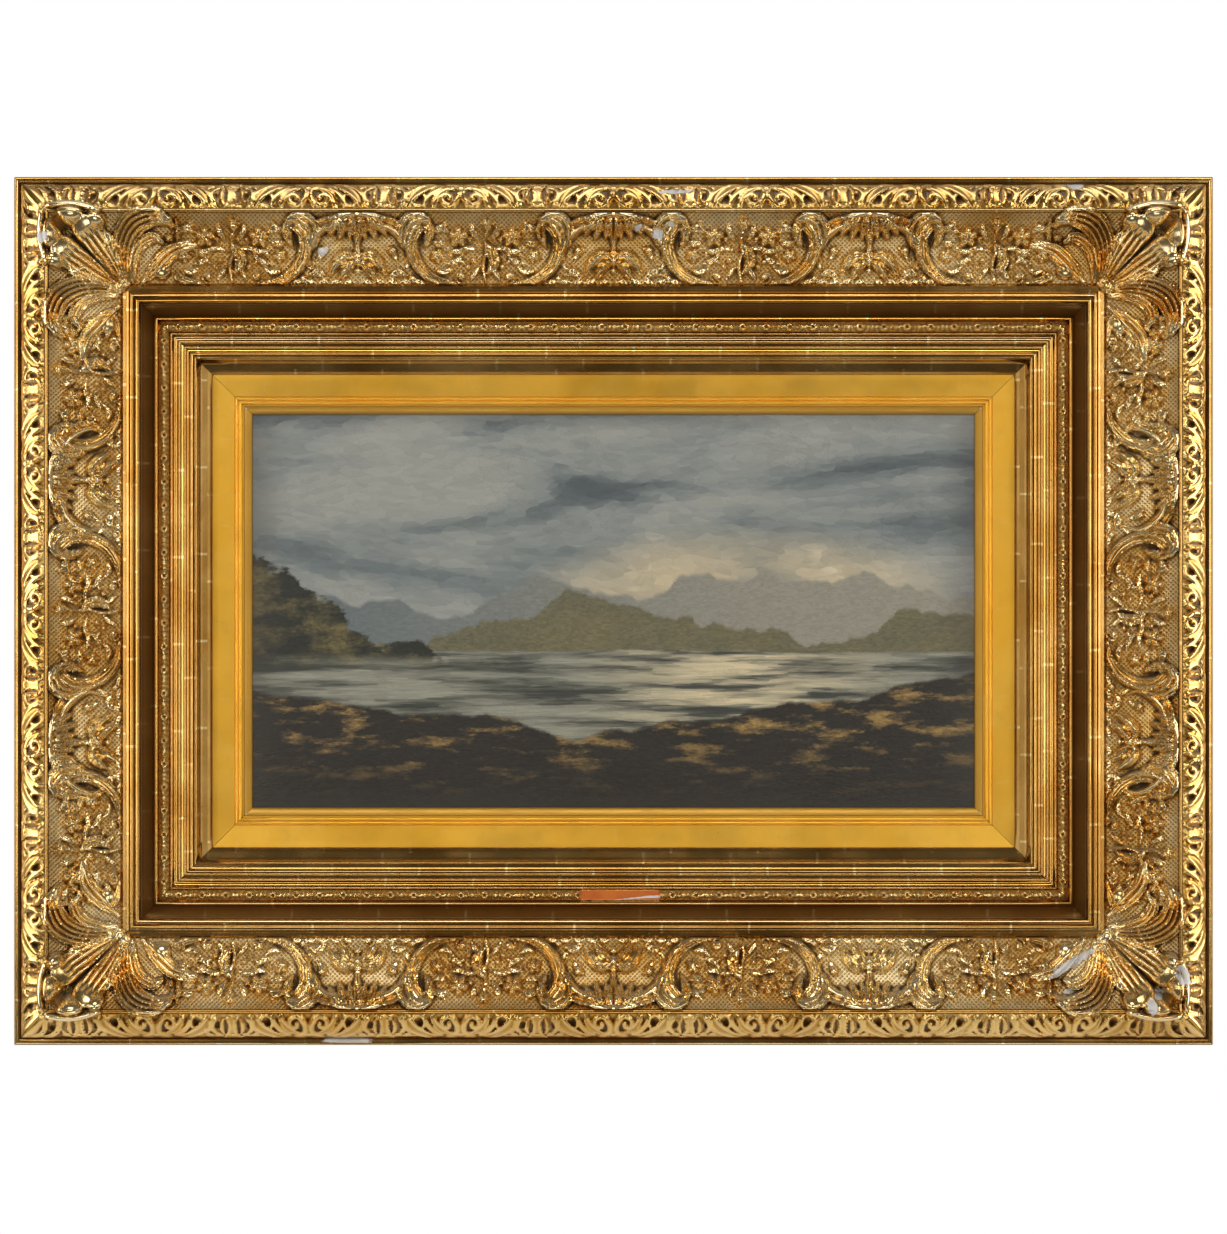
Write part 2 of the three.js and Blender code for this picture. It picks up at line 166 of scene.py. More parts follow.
def boss(mould, s, w, radius, rise, petals=0, turn=0.0, squash=1.0):
    """A dome, or a flower of rounded petals with a button. A dome is rise * sqrt(1 - r * r), and
    squash narrows it across the direction turn. The petals' edge is the radius times a little
    more where cos(petals * angle / 2) is large."""
    see = mould.window((s - radius, w - radius), (s + radius, w + radius))
    ds, dw = mould.s[see] - s, mould.w[see] - w
    if not petals:
        u = ds * math.cos(turn) + dw * math.sin(turn)
        v = (dw * math.cos(turn) - ds * math.sin(turn)) / squash
        form = rise * np.sqrt(np.clip(1 - (u * u + v * v) / radius**2, 0, 1))
    else:
        r, angle = np.hypot(ds, dw), np.arctan2(dw, ds) + turn
        fold = np.abs(np.cos(petals * angle / 2))
        edge = radius * (0.66 + 0.34 * fold**0.6)
        x = r / edge
        petal = np.where(x < 1, (0.35 + 0.65 * np.sin(np.pi * np.clip(x, 0,
                                                                      1) ** 0.8)) * (0.55 + 0.45 * fold), 0)
        button = np.sqrt(np.clip(1 - (r / (0.27 * radius)) ** 2, 0, 1))
        form = rise * np.maximum(petal, 0.9 * button)
    mould.h[see] = np.maximum(mould.h[see], form)


def blurred(h, radius):
    """A mean over a square of samples, from running sums along each axis."""
    for axis in (0, 1):
        padded = np.pad(h, [(radius + 1, radius) if a == axis else (0, 0) for a in (0, 1)], mode="edge")
        total = np.cumsum(padded, axis=axis)
        h = (np.take(total, range(2 * radius + 1, total.shape[axis]), axis)
             - np.take(total, range(0, total.shape[axis] - 2 * radius - 1), axis)) / (2 * radius + 1)
    return h


# %% [markdown]
# ## Sections of leaves and scrolls
# What makes a stroke read as a leaf or a scroll is its cross-section. A scroll's arm is a hollow
# between a stout roll and a thin one. A leaf is a low dome combed by ribs that run from its root
# to its tip, and its edge stands clear of the ground, so it casts a crisp shadow.

# %% Cross-sections, from one edge of a stroke at -1 to the other at 1
def roll(x, t):
    return np.sqrt(np.clip(1 - x**2, 0, 1))


def scroll_arm(x, t):
    stout = roll(np.clip((x + 0.5) / 0.5, -1, 1), t)
    thin = 0.8 * roll(np.clip((x - 0.74) / 0.26, -1, 1), t)
    return np.maximum(np.maximum(stout, thin), 0.48)


def combed(ribs, depth=0.3):
    """A leaf: a flat dome of round ribs, with a sharp groove wherever sin(ribs * pi * x / 2) is nought."""

    def section(x, t):
        dome = 0.55 + 0.45 * np.sqrt(np.clip(1 - x**2, 0, 1))
        return dome * (1 - depth * (1 - np.abs(np.sin(ribs * np.pi * x / 2))) * np.clip(4 * (1 - t), 0, 1))

    return section


def keeled(x, t):
    """A petal: a smooth dome with a soft keel along its middle."""
    return 0.75 * np.sqrt(np.clip(1 - x**2, 0, 1)) + 0.25 * np.exp(-((x / 0.22) ** 2))


def veined(x, t):
    """A small leaf with a groove down its middle and slanting side veins."""
    veins = 0.5 + 0.5 * np.cos(18 * t - 7 * np.abs(x))
    return (0.5 + 0.5 * np.sqrt(np.clip(1 - x**2, 0,
                                        1))) * (1 - 0.4 * np.exp(-((x / 0.14) ** 2))) * (0.84 + 0.16 * veins)


def swell(root, belly, tip, peak=0.5):
    """A width or height that goes root, belly, tip, as two eased quarter waves."""

    def value(t):
        up = root + (belly - root) * np.sin(0.5 * np.pi * np.clip(t / peak, 0, 1))
        down = tip + (belly - tip) * np.cos(0.5 * np.pi * np.clip((t - peak) / (1 - peak), 0, 1))
        return np.where(t < peak, up, down)

    return value


def oval(s, w, along, across, start, end, count=10, close=1.0):
    """Points on an arc of an ellipse, in degrees, which goes to close times its first size."""
    a = np.radians(np.linspace(start, end, count))
    size = np.linspace(1, close, count)
    return np.stack([s + along * size * np.cos(a), w + across * size * np.sin(a)], axis=1)


def circle(s, w, radius, start, end, count=9, close=1.0):
    return oval(s, w, radius, radius, start, end, count, close)


print("sections and strokes are ready")

# %% [markdown]
# ## The two moulds of the cove
# The cove repeats two large moulds by turns. The arch is two stout scrolled arms that rise to a
# cap of leaves under the lip, over a pair of open petals on a bare ground. The cartouche is two
# great C-scrolls, back to back with the arches, filled with a stem, flowers and berries. We draw
# the left half of each and mirror it, then add the few things that aren't mirrored.

# %% The arch
LIP_IN, COVE_IN = 34.6, 101.0


def arch_mould():
    m = Mould((-66, 66), (LIP_IN, COVE_IN + 1))
    # The arm: from low beside the cartouche, out and up, and in under the cap.
    arm = [(-44, 84), (-50, 72), (-45, 58), (-33, 47), (-16, 43)]
    stroke(m, arm, swell(2.5, 7.0, 5.5, 0.6), swell(3, 12, 13, 0.7), scroll_arm)
    # The cap: a fan of short leaves hanging from the lip, the middle one longest.
    for s, tip, wide in [(-22, (-27, 55), 5), (-14, (-17, 59), 5.5), (-6, (-7, 58), 5), (0, (0, 67), 5.5)]:
        leaf = [(s * 0.7, 38), (s * 0.95, 46), tip]
        stroke(m, leaf, swell(3.4, wide, 1.2, 0.45), swell(10, 14.5, 7, 0.45), combed(3, 0.35), 14)
    stroke(m, [(-31, 42), (-16, 38.5), (0, 37.5)], swell(1.2, 3.2, 3.4), swell(5, 11, 13), roll, 14)
    # The open petals and the bud over them.
    stroke(m, [(-1, 77), (-10, 74), (-19, 80), (-26, 91)], swell(3, 6.8, 1.8, 0.5), swell(6, 10, 4, 0.5),
           keeled)
    stroke(m, [(-1, 79), (-7, 82), (-13, 89), (-17, 96)], swell(2.5, 5.2, 1.6, 0.5), swell(6, 8.5, 4),
           keeled, 18)
    # The side bud and the little leaf that fill the ground inside the arm.
    boss(m, -33, 70, 4.6, 7.5)
    stroke(m, [(-28, 66), (-33, 72), (-38, 80)], swell(1.2, 3.2, 1.0), swell(3, 5, 2.5), veined, 14)
    stroke(m, [(-30, 94), (-37, 89), (-45, 91)], swell(1.4, 4.0, 1.2), swell(3, 7, 3), veined, 14)
    boss(m, -51, 95, 3.8, 5.5)
    # A running row of small leaves along the inner edge.
    for s in (-56, -44, -32, -20, -8):
        stroke(m, [(s - 5, 99.6), (s, 97), (s + 5, 99.2)], swell(0.9, 2.5, 0.8), swell(2, 4.2, 1.6), veined,
               10)
    m.mirrored()
    stroke(m, [(0, 62), (0, 70), (0, 75)], swell(1.5, 3.0, 2.0), swell(3, 6, 5), combed(2), 10)
    boss(m, 0, 79, 5.0, 10)
    boss(m, 0, 88, 3.4, 5)
    return m


ARCH = arch_mould()
print("arch mould", ARCH.h.shape, "highest", round(float(ARCH.h.max()), 1), "mm")


# %% The cartouche
def cartouche_mould():
    m = Mould((-88, 88), (LIP_IN, COVE_IN + 1))
    # The great C-scroll, with a ribbed leaf for its head and a curl at its foot.
    body = [(-56, 44), (-66, 55), (-68, 70), (-60, 86), (-46, 96), (-28, 100)]
    stroke(m, body, swell(4.0, 6.0, 2.4, 0.4), swell(9, 13, 5, 0.35), scroll_arm, 40)
    head = [(-68, 72), (-75, 60), (-74, 48), (-64, 40), (-54, 42)]
    stroke(m, head, swell(2.5, 8.2, 4.0, 0.6), swell(7, 15, 11, 0.6), combed(3, 0.3))
    stroke(m, [(-58, 40), (-52, 48), (-53, 58), (-57, 66)], swell(2.5, 4.6, 1.2), swell(9, 12, 5),
           combed(3, 0.4), 18)
    stroke(m, circle(-23, 94, 5.4, 80, 400, 12, 0.45), swell(1.4, 1.9, 1.6), swell(5, 7.5, 7), roll, 26)
    boss(m, -23, 94, 2.8, 9)
    # A flower under the lip, one in the scroll, and leaves between them.
    boss(m, -25, 57, 9.6, 9.5, petals=5, turn=0.3)
    boss(m, -45, 74, 7.2, 7.5, petals=5, turn=1.1)
    for path, wide in [
        ([(-4, 70), (-14, 67), (-26, 70), (-37, 68)], 2.8),
        ([(-6, 60), (-11, 52), (-12, 45)], 3.2),
        ([(-34, 52), (-42, 49), (-49, 53)], 3.4),
        ([(-20, 72), (-27, 79), (-36, 81)], 3.2),
        ([(-36, 60), (-42, 63), (-49, 61)], 3.0),
        ([(-30, 84), (-37, 89), (-46, 87)], 3.0),
        ([(-5, 84), (-10, 90), (-14, 97)], 2.8),
    ]:
        stroke(m, path, swell(0.9, wide, 0.8, 0.55), swell(4, 6.5, 3, 0.5), veined, 16)
    for s, w, r in [(-14, 59, 2.6), (-38, 45, 2.6), (-33, 73, 2.2), (-11, 78, 3.0), (-16, 84, 2.8),
                    (-21, 80, 2.4)]:
        boss(m, s, w, r, 2.0 * r + 1)
    m.mirrored()
    # The stem and its one big leaf lean to one side, as a growing thing does.
    stroke(m, [(0, 98), (-2, 84), (1, 70), (0, 58), (3, 48)], swell(2.2, 1.8, 1.6), swell(7, 7, 5), roll,
           24)
    stroke(m, [(2, 90), (8, 80), (6, 70), (0, 64)], swell(1.5, 5.6, 1.5, 0.4), swell(6, 11, 6),
           combed(3, 0.4), 20)
    boss(m, 2, 45, 6.4, 7.5, petals=6)
    return m


CARTOUCHE = cartouche_mould()
print("cartouche mould", CARTOUCHE.h.shape, "highest", round(float(CARTOUCHE.h.max()), 1), "mm")

# %% [markdown]
# ## The outer band's mould
# The narrow band outside the lip repeats a palmette: nested C-scrolls that spring from its foot at
# the outer edge, an eye between the outer two, and then a waisted bar between two drilled eyes.
# The drilled eyes are holes, so here the map also goes below the ground. The band slopes steeply,
# and heights are measured towards the viewer, so they are raised to a third more than drawn. Its
# cavity number is raised too, so that the toning paints dark outlines round the scrolls: painted shade.

# %% The band
BAND_OUT, BAND_IN = 7.0, 31.6
BAND_STEEP = 1.3
# The band's cavity number is raised so the toning paints dark outlines round its scrolls: painted shade.
BAND_SHADE_TONING = 1.8


def drill(mould, s, w, radius, depth):
    see = mould.window((s - 2 * radius, w - 2 * radius), (s + 2 * radius, w + 2 * radius))
    r = np.hypot(mould.s[see] - s, (mould.w[see] - w) * 0.75)
    mould.h[see] -= depth * np.exp(-((r / radius) ** 4))


def steepened(m):
    """Grows the heights for the slope, and lets them die away under the lip."""
    m.h *= BAND_STEEP * np.clip((BAND_IN + 1.5 - m.w) / 7, 0.2, 1)
    return m


def band_mould(pitch):
    m = Mould((-pitch / 2 - 14, pitch / 2 + 14), (BAND_OUT - 1, BAND_IN + 1))
    k = pitch / 141.5  # the short rails use the same mould, closed up a little
    # The nested scrolls, from the inner volute outwards.
    stroke(m, circle(-12.5 * k, 21.5, 6.4, 80, 380, 12, 0.3), swell(2.2, 2.9, 2.2), swell(2.6, 3.8, 3.8),
           roll, 30)
    stroke(m, oval(-6 * k, 31, 19 * k, 19, 176, 256), swell(2.4, 3.6, 2.0), swell(2.6, 4.4, 3), scroll_arm,
           24)
    stroke(m, oval(-8 * k, 32, 25.5 * k, 23.5, 178, 248), swell(2.0, 3.2, 1.8), swell(2.2, 3.6, 2.6), roll,
           24)
    stroke(m, oval(-12 * k, 33, 38 * k, 26.0, 180, 250), swell(3.2, 5.6, 2.4), swell(2.8, 5.2, 3),
           scroll_arm, 26)
    stroke(m, oval(-30 * k, 33, 27 * k, 25.0, 186, 240), swell(1.4, 2.2, 1.2), swell(2.4, 3.8, 2.4), roll,
           22)
    # The ring round the eye, the curl that backs the drilled eye, and small leaves at the foot.
    stroke(m, oval(-38.5 * k, 23, 5.6, 7.2, -80, 210, 12), swell(1.6, 2.4, 1.6), swell(2.4, 3.8, 2.8), roll,
           26)
    stroke(m, oval(-57 * k, 21, 5.8, 8.6, -75, 80, 9), swell(1.6, 2.7, 1.6), swell(2.4, 4.2, 2.6), roll, 20)
    stroke(m, oval(-66 * k, 19, 5.2, 9.0, -60, 62, 9), swell(1.2, 1.9, 1.2), swell(2.0, 3.2, 2.2), roll, 20)
    for s in (-22, -31, -40, -49, -58):
        stroke(m, [((s - 4.2) * k, 8.8), (s * k, 10.6), ((s + 3.6) * k, 9)], swell(1.0, 2.3, 1.0),
               swell(1.8, 3, 1.6), veined, 10)
    # Half of the calyx that stands in the middle, a foot, a waist and a horn.
    stroke(m, [(-9, 8.6), (-3, 12.5), (-2.6, 20), (-7.4, 28.5)], swell(5.0, 3.6, 3.9, 0.4),
           swell(3.4, 5.6, 5), keeled, 20)
    m.mirrored()
    for side in (-1, 1):
        bar = side * pitch / 2
        waist = lambda t: 3.8 + 5.6 * np.abs(2 * t - 1) ** 2
        hollow = lambda x, t: 0.62 + 0.38 * np.abs(x) ** 1.5
        stroke(m, [(bar, 7.5), (bar, 15), (bar, 24), (bar, 31)], waist, swell(3.4, 3.8, 4), hollow, 20)
        boss(m, bar, 9.8, 4.2, 4.4, squash=0.45)
        boss(m, bar, 28.8, 3.6, 4.6, squash=0.45)
    boss(m, 0, 10.4, 3.6, 5, squash=0.7)
    steepened(m)
    for side in (-1, 1):
        drill(m, side * 37.5 * k, 22.5, 2.0, 3.6)
        drill(m, side * 57.0 * k, 20.5, 2.4, 4.2)
    return m


BAND = {WIDTH: band_mould(141.5), HEIGHT: band_mould(136.7)}


def band_corner():
    """The leaf that covers the band's mitre, in a square with a along one rail and w along the
    other, the same on both sides of the diagonal."""
    m = Mould((0, 58), (0, BAND_IN + 1))
    for points, half, rise in [
        ([(6, 6), (17, 17), (32, 32)], swell(2.5, 7.5, 3.5, 0.55), swell(3, 5.5, 4.2)),
        ([(13, 8.5), (22, 9), (29, 14), (32, 24), (31, 32)], swell(1.4, 2.8, 1.6), swell(2.6, 4.8, 3)),
        ([(25, 7.6), (36, 9.5), (43, 17), (44, 31)], swell(1.4, 3.2, 1.8), swell(2.4, 5, 3)),
    ]:
        stroke(m, points, half, rise, combed(2, 0.4), 24)
    boss(m, 24.5, 22, 2.6, 4)
    boss(m, 37, 25, 2.8, 4.4)
    steepened(m)
    drill(m, 37.5, 17.5, 1.9, 4.5)
    return m


BAND_CORNER = band_corner()
print("band moulds made")

# %% [markdown]
# ## Laying the moulds round the frame
# The gilder's apprentice cut the castings and laid them by eye from the middle outwards. We paste each
# mould into one long map of the rail, keeping the higher of the two where they overlap. Then we
# blur that map and take the difference: a point lower than its surroundings lies in a cavity,
# where toning and dust collect and where the gold is painted darker as painted shade, and a higher
# one is rubbed and painted paler as painted highlight. Both numbers go to the materials.

# %% One map for each length of rail
ARCH_PITCH = {WIDTH: 237.6, HEIGHT: 243.7}
END_CARTOUCHE = {WIDTH: 354.0, HEIGHT: 222.0}
ARCHES = {WIDTH: 3, HEIGHT: 2}
BAND_PITCH = {WIDTH: 141.5, HEIGHT: 136.7}


def paste(target, mould, at, keep=(-1e9, 1e9)):
    """Lays a mould on a map at distance at, only where s lies inside keep."""
    i = int(round((mould.s0 + at - target.s0) / GRAIN))
    j = int(round((mould.w0 - target.w0) / GRAIN))
    n, k = mould.h.shape
    a, b = max(i, 0), min(i + n, target.h.shape[0])
    c = min(j + k, target.h.shape[1])
    here = target.h[a:b, j:c]
    new = mould.h[a - i : b - i, : c - j]
    s = target.s[a:b, j:c]
    allowed = (s >= keep[0]) & (s <= keep[1])
    laid = np.where(new < 0, np.minimum(here, new), np.maximum(here, new))
    target.h[a:b, j:c] = np.where(allowed, laid, here)


def rail_map(length):
    m = Mould((-length / 2, length / 2), (0, 118))
    pitch, arches, end = ARCH_PITCH[length], ARCHES[length], END_CARTOUCHE[length]
    first = -(arches - 1) * pitch / 2
    for k in range(arches):
        paste(m, ARCH, first + k * pitch)
    for k in range(arches + 1):
        at = -end if k == 0 else end if k == arches else first + (k - 0.5) * pitch
        keep = (at - 52, 1e9) if k == 0 else (-1e9, at + 52) if k == arches else (-1e9, 1e9)
        paste(m, CARTOUCHE, at, keep)
    for k in range(-8, 9, 2):
        at = k * BAND_PITCH[length] / 2
        if abs(at) < length / 2 + 20:
            paste(m, BAND[length], at, (-length / 2 + 46, length / 2 - 46))
    paste(m, BAND_CORNER, -length / 2)
    m.h = m.h[::-1].copy()
    paste(m, BAND_CORNER, -length / 2)
    m.h = m.h[::-1].copy()
    return m


def cavity_of(m):
    """How far each point lies below (positive) or above (negative) the mean of its surroundings."""
    return blurred(m.h, 7) - m.h


MAPS = {length: rail_map(length) for length in (WIDTH, HEIGHT)}
CAVITIES = {length: cavity_of(m) for length, m in MAPS.items()}


def sampled(m, values, s, w):
    """Reads a map between its samples, as the weighted mean of the four nearest."""
    i = np.clip((s - m.s0) / GRAIN, 0, values.shape[0] - 1.001)
    j = np.clip((w - m.w0) / GRAIN, 0, values.shape[1] - 1.001)
    a, b = i.astype(int), j.astype(int)
    u, v = i - a, j - b
    return ((1 - u) * (1 - v) * values[a, b] + u * (1 - v) * values[a + 1, b]
            + (1 - u) * v * values[a, b + 1] + u * v * values[a + 1, b + 1])


print({round(k): m.h.shape for k, m in MAPS.items()})

# %% [markdown]
# ## Old damage
# The frame has had a long life. The name plate is gone from the bottom and has left a strip of
# red clay and white gesso. Leaf tips are broken at the corners, and each break is white, because
# whiting is what gesso and composition are made of. A list names each loss by its place, and the
# same list both lowers the surface and tells the material where to turn white.

# %% The losses, as (x, z, half length, half width, slope in degrees) from the frame's middle
LOSSES = np.array([
    (426, -327, 23, 4.0, 30), (422, -353, 5, 2, 5), (505, -355, 5, 4, 60),
    (498, -366, 4, 7, 10), (527, -337, 6, 9, 20), (429, 395, 7, 3.5, 0),
    (57, 389, 14, 2, 2), (41, 349, 5, 4.5, 50), (23, 355, 4, 2, 40), (53, 358, 3, 2, 0),
    (-270, 334, 5, 4, 20), (-528, 346, 5, 4.5, 45), (-247, -400, 18, 2.4, 0), (527, -401, 4.5, 1.6, 0),
])


CHIP_DEPTH = 1.6  # how far a break goes in, in mm


def rough(x, z, size):
    """A smooth random field: sines of different lengths and directions, added together."""
    a, b = x / size, z / size
    return (np.sin(2.1 * a + 1.3 * b + 0.5) + np.sin(-1.7 * a + 2.6 * b + 2.1)
            + 0.6 * np.sin(4.3 * a - 3.1 * b + 4.0) + 0.5 * np.sin(3.4 * a + 5.2 * b + 1.0)) / 3.1


def loss_at(points):
    """1 inside a loss, 0 outside, with a ragged edge: an ellipse whose rim moves in and out."""
    x, z = 1000 * points[..., 0] - middle[0], 1000 * points[..., 2] - middle[2]
    most = np.zeros(x.shape)
    for cx, cz, a, b, slope in LOSSES:
        c, s = math.cos(math.radians(slope)), math.sin(math.radians(slope))
        u, v = (x - cx) * c + (z - cz) * s, (z - cz) * c - (x - cx) * s
        r = np.hypot(u / a, v / b) + 0.3 * rough(x, z, 3.0)
        most = np.maximum(most, np.clip(2.5 * (1.25 - r), 0, 1))
    return most


print(len(LOSSES), "losses")

# %% [markdown]
# ## From sections to meshes
# A rail is its section carried along s, with both ends cut on the 45 degree mitre: the end of
# each row is pulled in by its own w. The ornament is added as height towards the viewer alone,
# so the mitre cut stays flat. Each point also keeps its place along the rail and its cavity as
# attributes, because leaf laps, toning and wear all follow the rail and not the room.

# %% The mesh tools
def add_mesh(name, points, faces, uses=None, crisp=52):
    """A smooth-shaded mesh object from arrays. uses names extra numbers for each point."""
    mesh = bpy.data.meshes.new(name)
    mesh.from_pydata(points.reshape(-1, 3).tolist(), [], faces)
    mesh.shade_smooth()
    mesh.set_sharp_from_angle(angle=math.radians(crisp))
    for label, values in (uses or {}).items():
        kind = "FLOAT_VECTOR" if values.ndim == 2 else "FLOAT"
        layer = mesh.attributes.new(label, kind, "POINT")
        layer.data.foreach_set("vector" if values.ndim == 2 else "value", values.ravel().astype(np.float32))
    obj = bpy.data.objects.new(name, mesh)
    bpy.context.collection.objects.link(obj)
    return obj


def finish_piece(obj, material, slot, *nodes):
    """Gives a piece its material, hangs it under the root body and hides the CAD nodes it stands for."""
    obj.data.materials.append(material)
    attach(obj, "root")
    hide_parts(*nodes)
    triangles = sum(len(p.vertices) - 2 for p in obj.data.polygons)
    print(f"{obj.name}: {triangles} triangles")


def grid_faces(columns, rows):
    """Quads between neighbouring columns of a ring of rows, and one face on each mitred end."""
    i, j = np.meshgrid(np.arange(columns - 1), np.arange(rows), indexing="ij")
    a = i * rows + j
    b = i * rows + (j + 1) % rows
    quads = np.stack([a, b, b + rows, a + rows], axis=-1).reshape(-1, 4).tolist()
    last = (columns - 1) * rows
    return quads + [list(range(rows))[::-1], list(range(last, last + rows))]


def rail_piece(name, outline, carved, turn, length, half, columns, height, cavity, shade, bare, behind):
    """A mitred rail. outline is its closed section in (w, d), clockwise from the outer foot, and
    carved is true for the rows that take the ornament's height. shade is the cavity number of the
    plain rows, which is high in a hollow. bare is 1 where the gilding is gone from a flat bed.
    The last rows, as many as behind says, are the back, which is plain wood and has no losses."""
    w, d = outline[:, 0], outline[:, 1]
    share = np.linspace(-1, 1, columns)[:, None]
    s = share * (length / 2 - w - JOINT_GAP)[None, :]
    ww = np.broadcast_to(w, s.shape)
    raised = np.where(carved, height(s, ww), 0.0)
    points = room(s, ww, d + raised, turn, half)
    timber = (np.arange(len(w)) >= len(w) - behind) * 1.0
    lost = loss_at(points) * (d > 30) * (1 - timber)
    points = room(s, ww, d + raised - CHIP_DEPTH * lost, turn, half)
    uses = {
        "rail": np.stack([s.ravel(), ww.ravel(), np.full(s.size, 37.0 * turn)], axis=1) / 1000,
        "cavity": np.where(carved, cavity(s, ww), shade).ravel(),
        "relief": raised.ravel(),
        "loss": lost.ravel(),
        "plate": np.where(carved, bare(s, ww), 0.0).ravel(),
        "timber": np.broadcast_to(timber, s.shape).ravel(),
    }
    return add_mesh(name, points, grid_faces(columns, len(w)), uses)


def path(*pieces):
    """Joins stretches of a section into one outline. A stretch is (end point, bulge, steps)."""
    points = [pieces[0]]
    for (w, d), bulge, steps in pieces[1:]:
        a = np.array(points[-1], float)
        b = np.array([w, d], float)
        t = np.linspace(0, 1, steps + 1)[1:, None]
        normal = np.array([-(b - a)[1], (b - a)[0]]) / max(np.hypot(*(b - a)), 1e-6)
        points += (a + (b - a) * t + normal * 4 * bulge * t * (1 - t)).tolist()
    return np.array(points)


# %% [markdown]
# ## The outer rails
# From the outside in: a plain side, a small smooth edge, the rising band, the narrow lip, the
# deep cove, two flat fillets with a hollow between them, and the burnished nosing that ends it.
# The ornament of the band and of the cove was pressed in moulds and glued on, so each is a strip
# of its own, closely meshed, and the plain moulding under it needs only a few points.

# %% The outer rails' section and the two strips on it
COVE_HIGH, COVE_LOW = 92.0, 64.0
SUNK = {"band": 5.0, "cove": 2.6}  # how far the wood lies under a strip's ground


def cove_height(w):
    """Steep under the lip and level at the inner edge: the share left to go, to the power 2.1."""
    t = np.clip((w - LIP_IN) / (COVE_IN - LIP_IN), 0, 1)
    return COVE_LOW + (COVE_HIGH - COVE_LOW) * (1 - t) ** 2.1


def strip(front, depth, count=9):
    """A strip's closed section: its front, and a plain back that lies depth below it."""
    picks = np.linspace(len(front) - 1, 0, count).astype(int)
    return np.vstack([front, front[picks] - (0, depth)])


cove_w = np.linspace(LIP_IN + 0.5, COVE_IN - 0.2, 60)
cove_ground = np.stack([cove_w, cove_height(cove_w)], axis=1)
band_ground = path((7, 59), ((31.6, 94), 3.5, 29))
side_edge = path((0, 0), ((0, 56.6), 0, 2), ((1.4, 58), 0.35, 3), ((5.2, 58), 0.25, 3), ((5.9, 55.6), 0, 1),
                 ((6.5, 55.4), 0, 1))
lip = path((31.9, 93.8), ((32.1, 95.7), 0, 1), ((32.6, 96), 0, 1), ((34.3, 95.9), 0.1, 2),
           ((34.8, 95.2), 0, 1))
fillets = path((101.4, 65.2), ((102.2, 67), 0, 1), ((104.9, 67.1), 0, 1), ((105.3, 66), 0, 1),
               ((107.2, 66.1), 0, 1),
               ((107.8, 64.2), 0, 1), ((112.6, 66.4), -0.9, 5), ((113.0, 67), 0, 1), ((118, 61.2), 1.9, 7))
outer_back = np.array([(118, 40.3), (112, 40.3), (112, 22), (88, 22), (72, 40), (36, 58), (26, 50),
                       (26, 0)])
OUTER = np.vstack([
    side_edge, band_ground[::6] - (0, SUNK["band"]), lip, cove_ground[::6] - (0, SUNK["cove"]), fillets,
    outer_back])
GROUND = np.vstack([side_edge[5:], band_ground, lip, cove_ground, fillets])
BAND_STRIP = strip(band_ground, SUNK["band"] + 0.8)
COVE_STRIP = strip(cove_ground, SUNK["cove"] + 0.6)
print("outer section", len(OUTER), "points, strips", len(BAND_STRIP), "and", len(COVE_STRIP))


def front_rows(outline, count):
    """True for the first rows of a strip, which take the ornament, apart from the outermost two."""
    rows = np.arange(len(outline))
    return (rows > 0) & (rows < count - 1)


# %% [markdown]
# ## The corner leaves
# Over each mitre sits a casting of its own, which hides the joint: tall combed leaves that spring
# from the inner corner. One sweeps along each rail and turns back on itself, and a pair follows
# the mitre, with a dark furrow between them, and curls over the lip in two knobs. The casting is
# drawn in a square, a along one rail and b along the other. Its ground is the mitred moulding,
# whose height at (a, b) is the section's height at the smaller of the two.

# %% The corner mould
CORNER_SPAN = 196.0


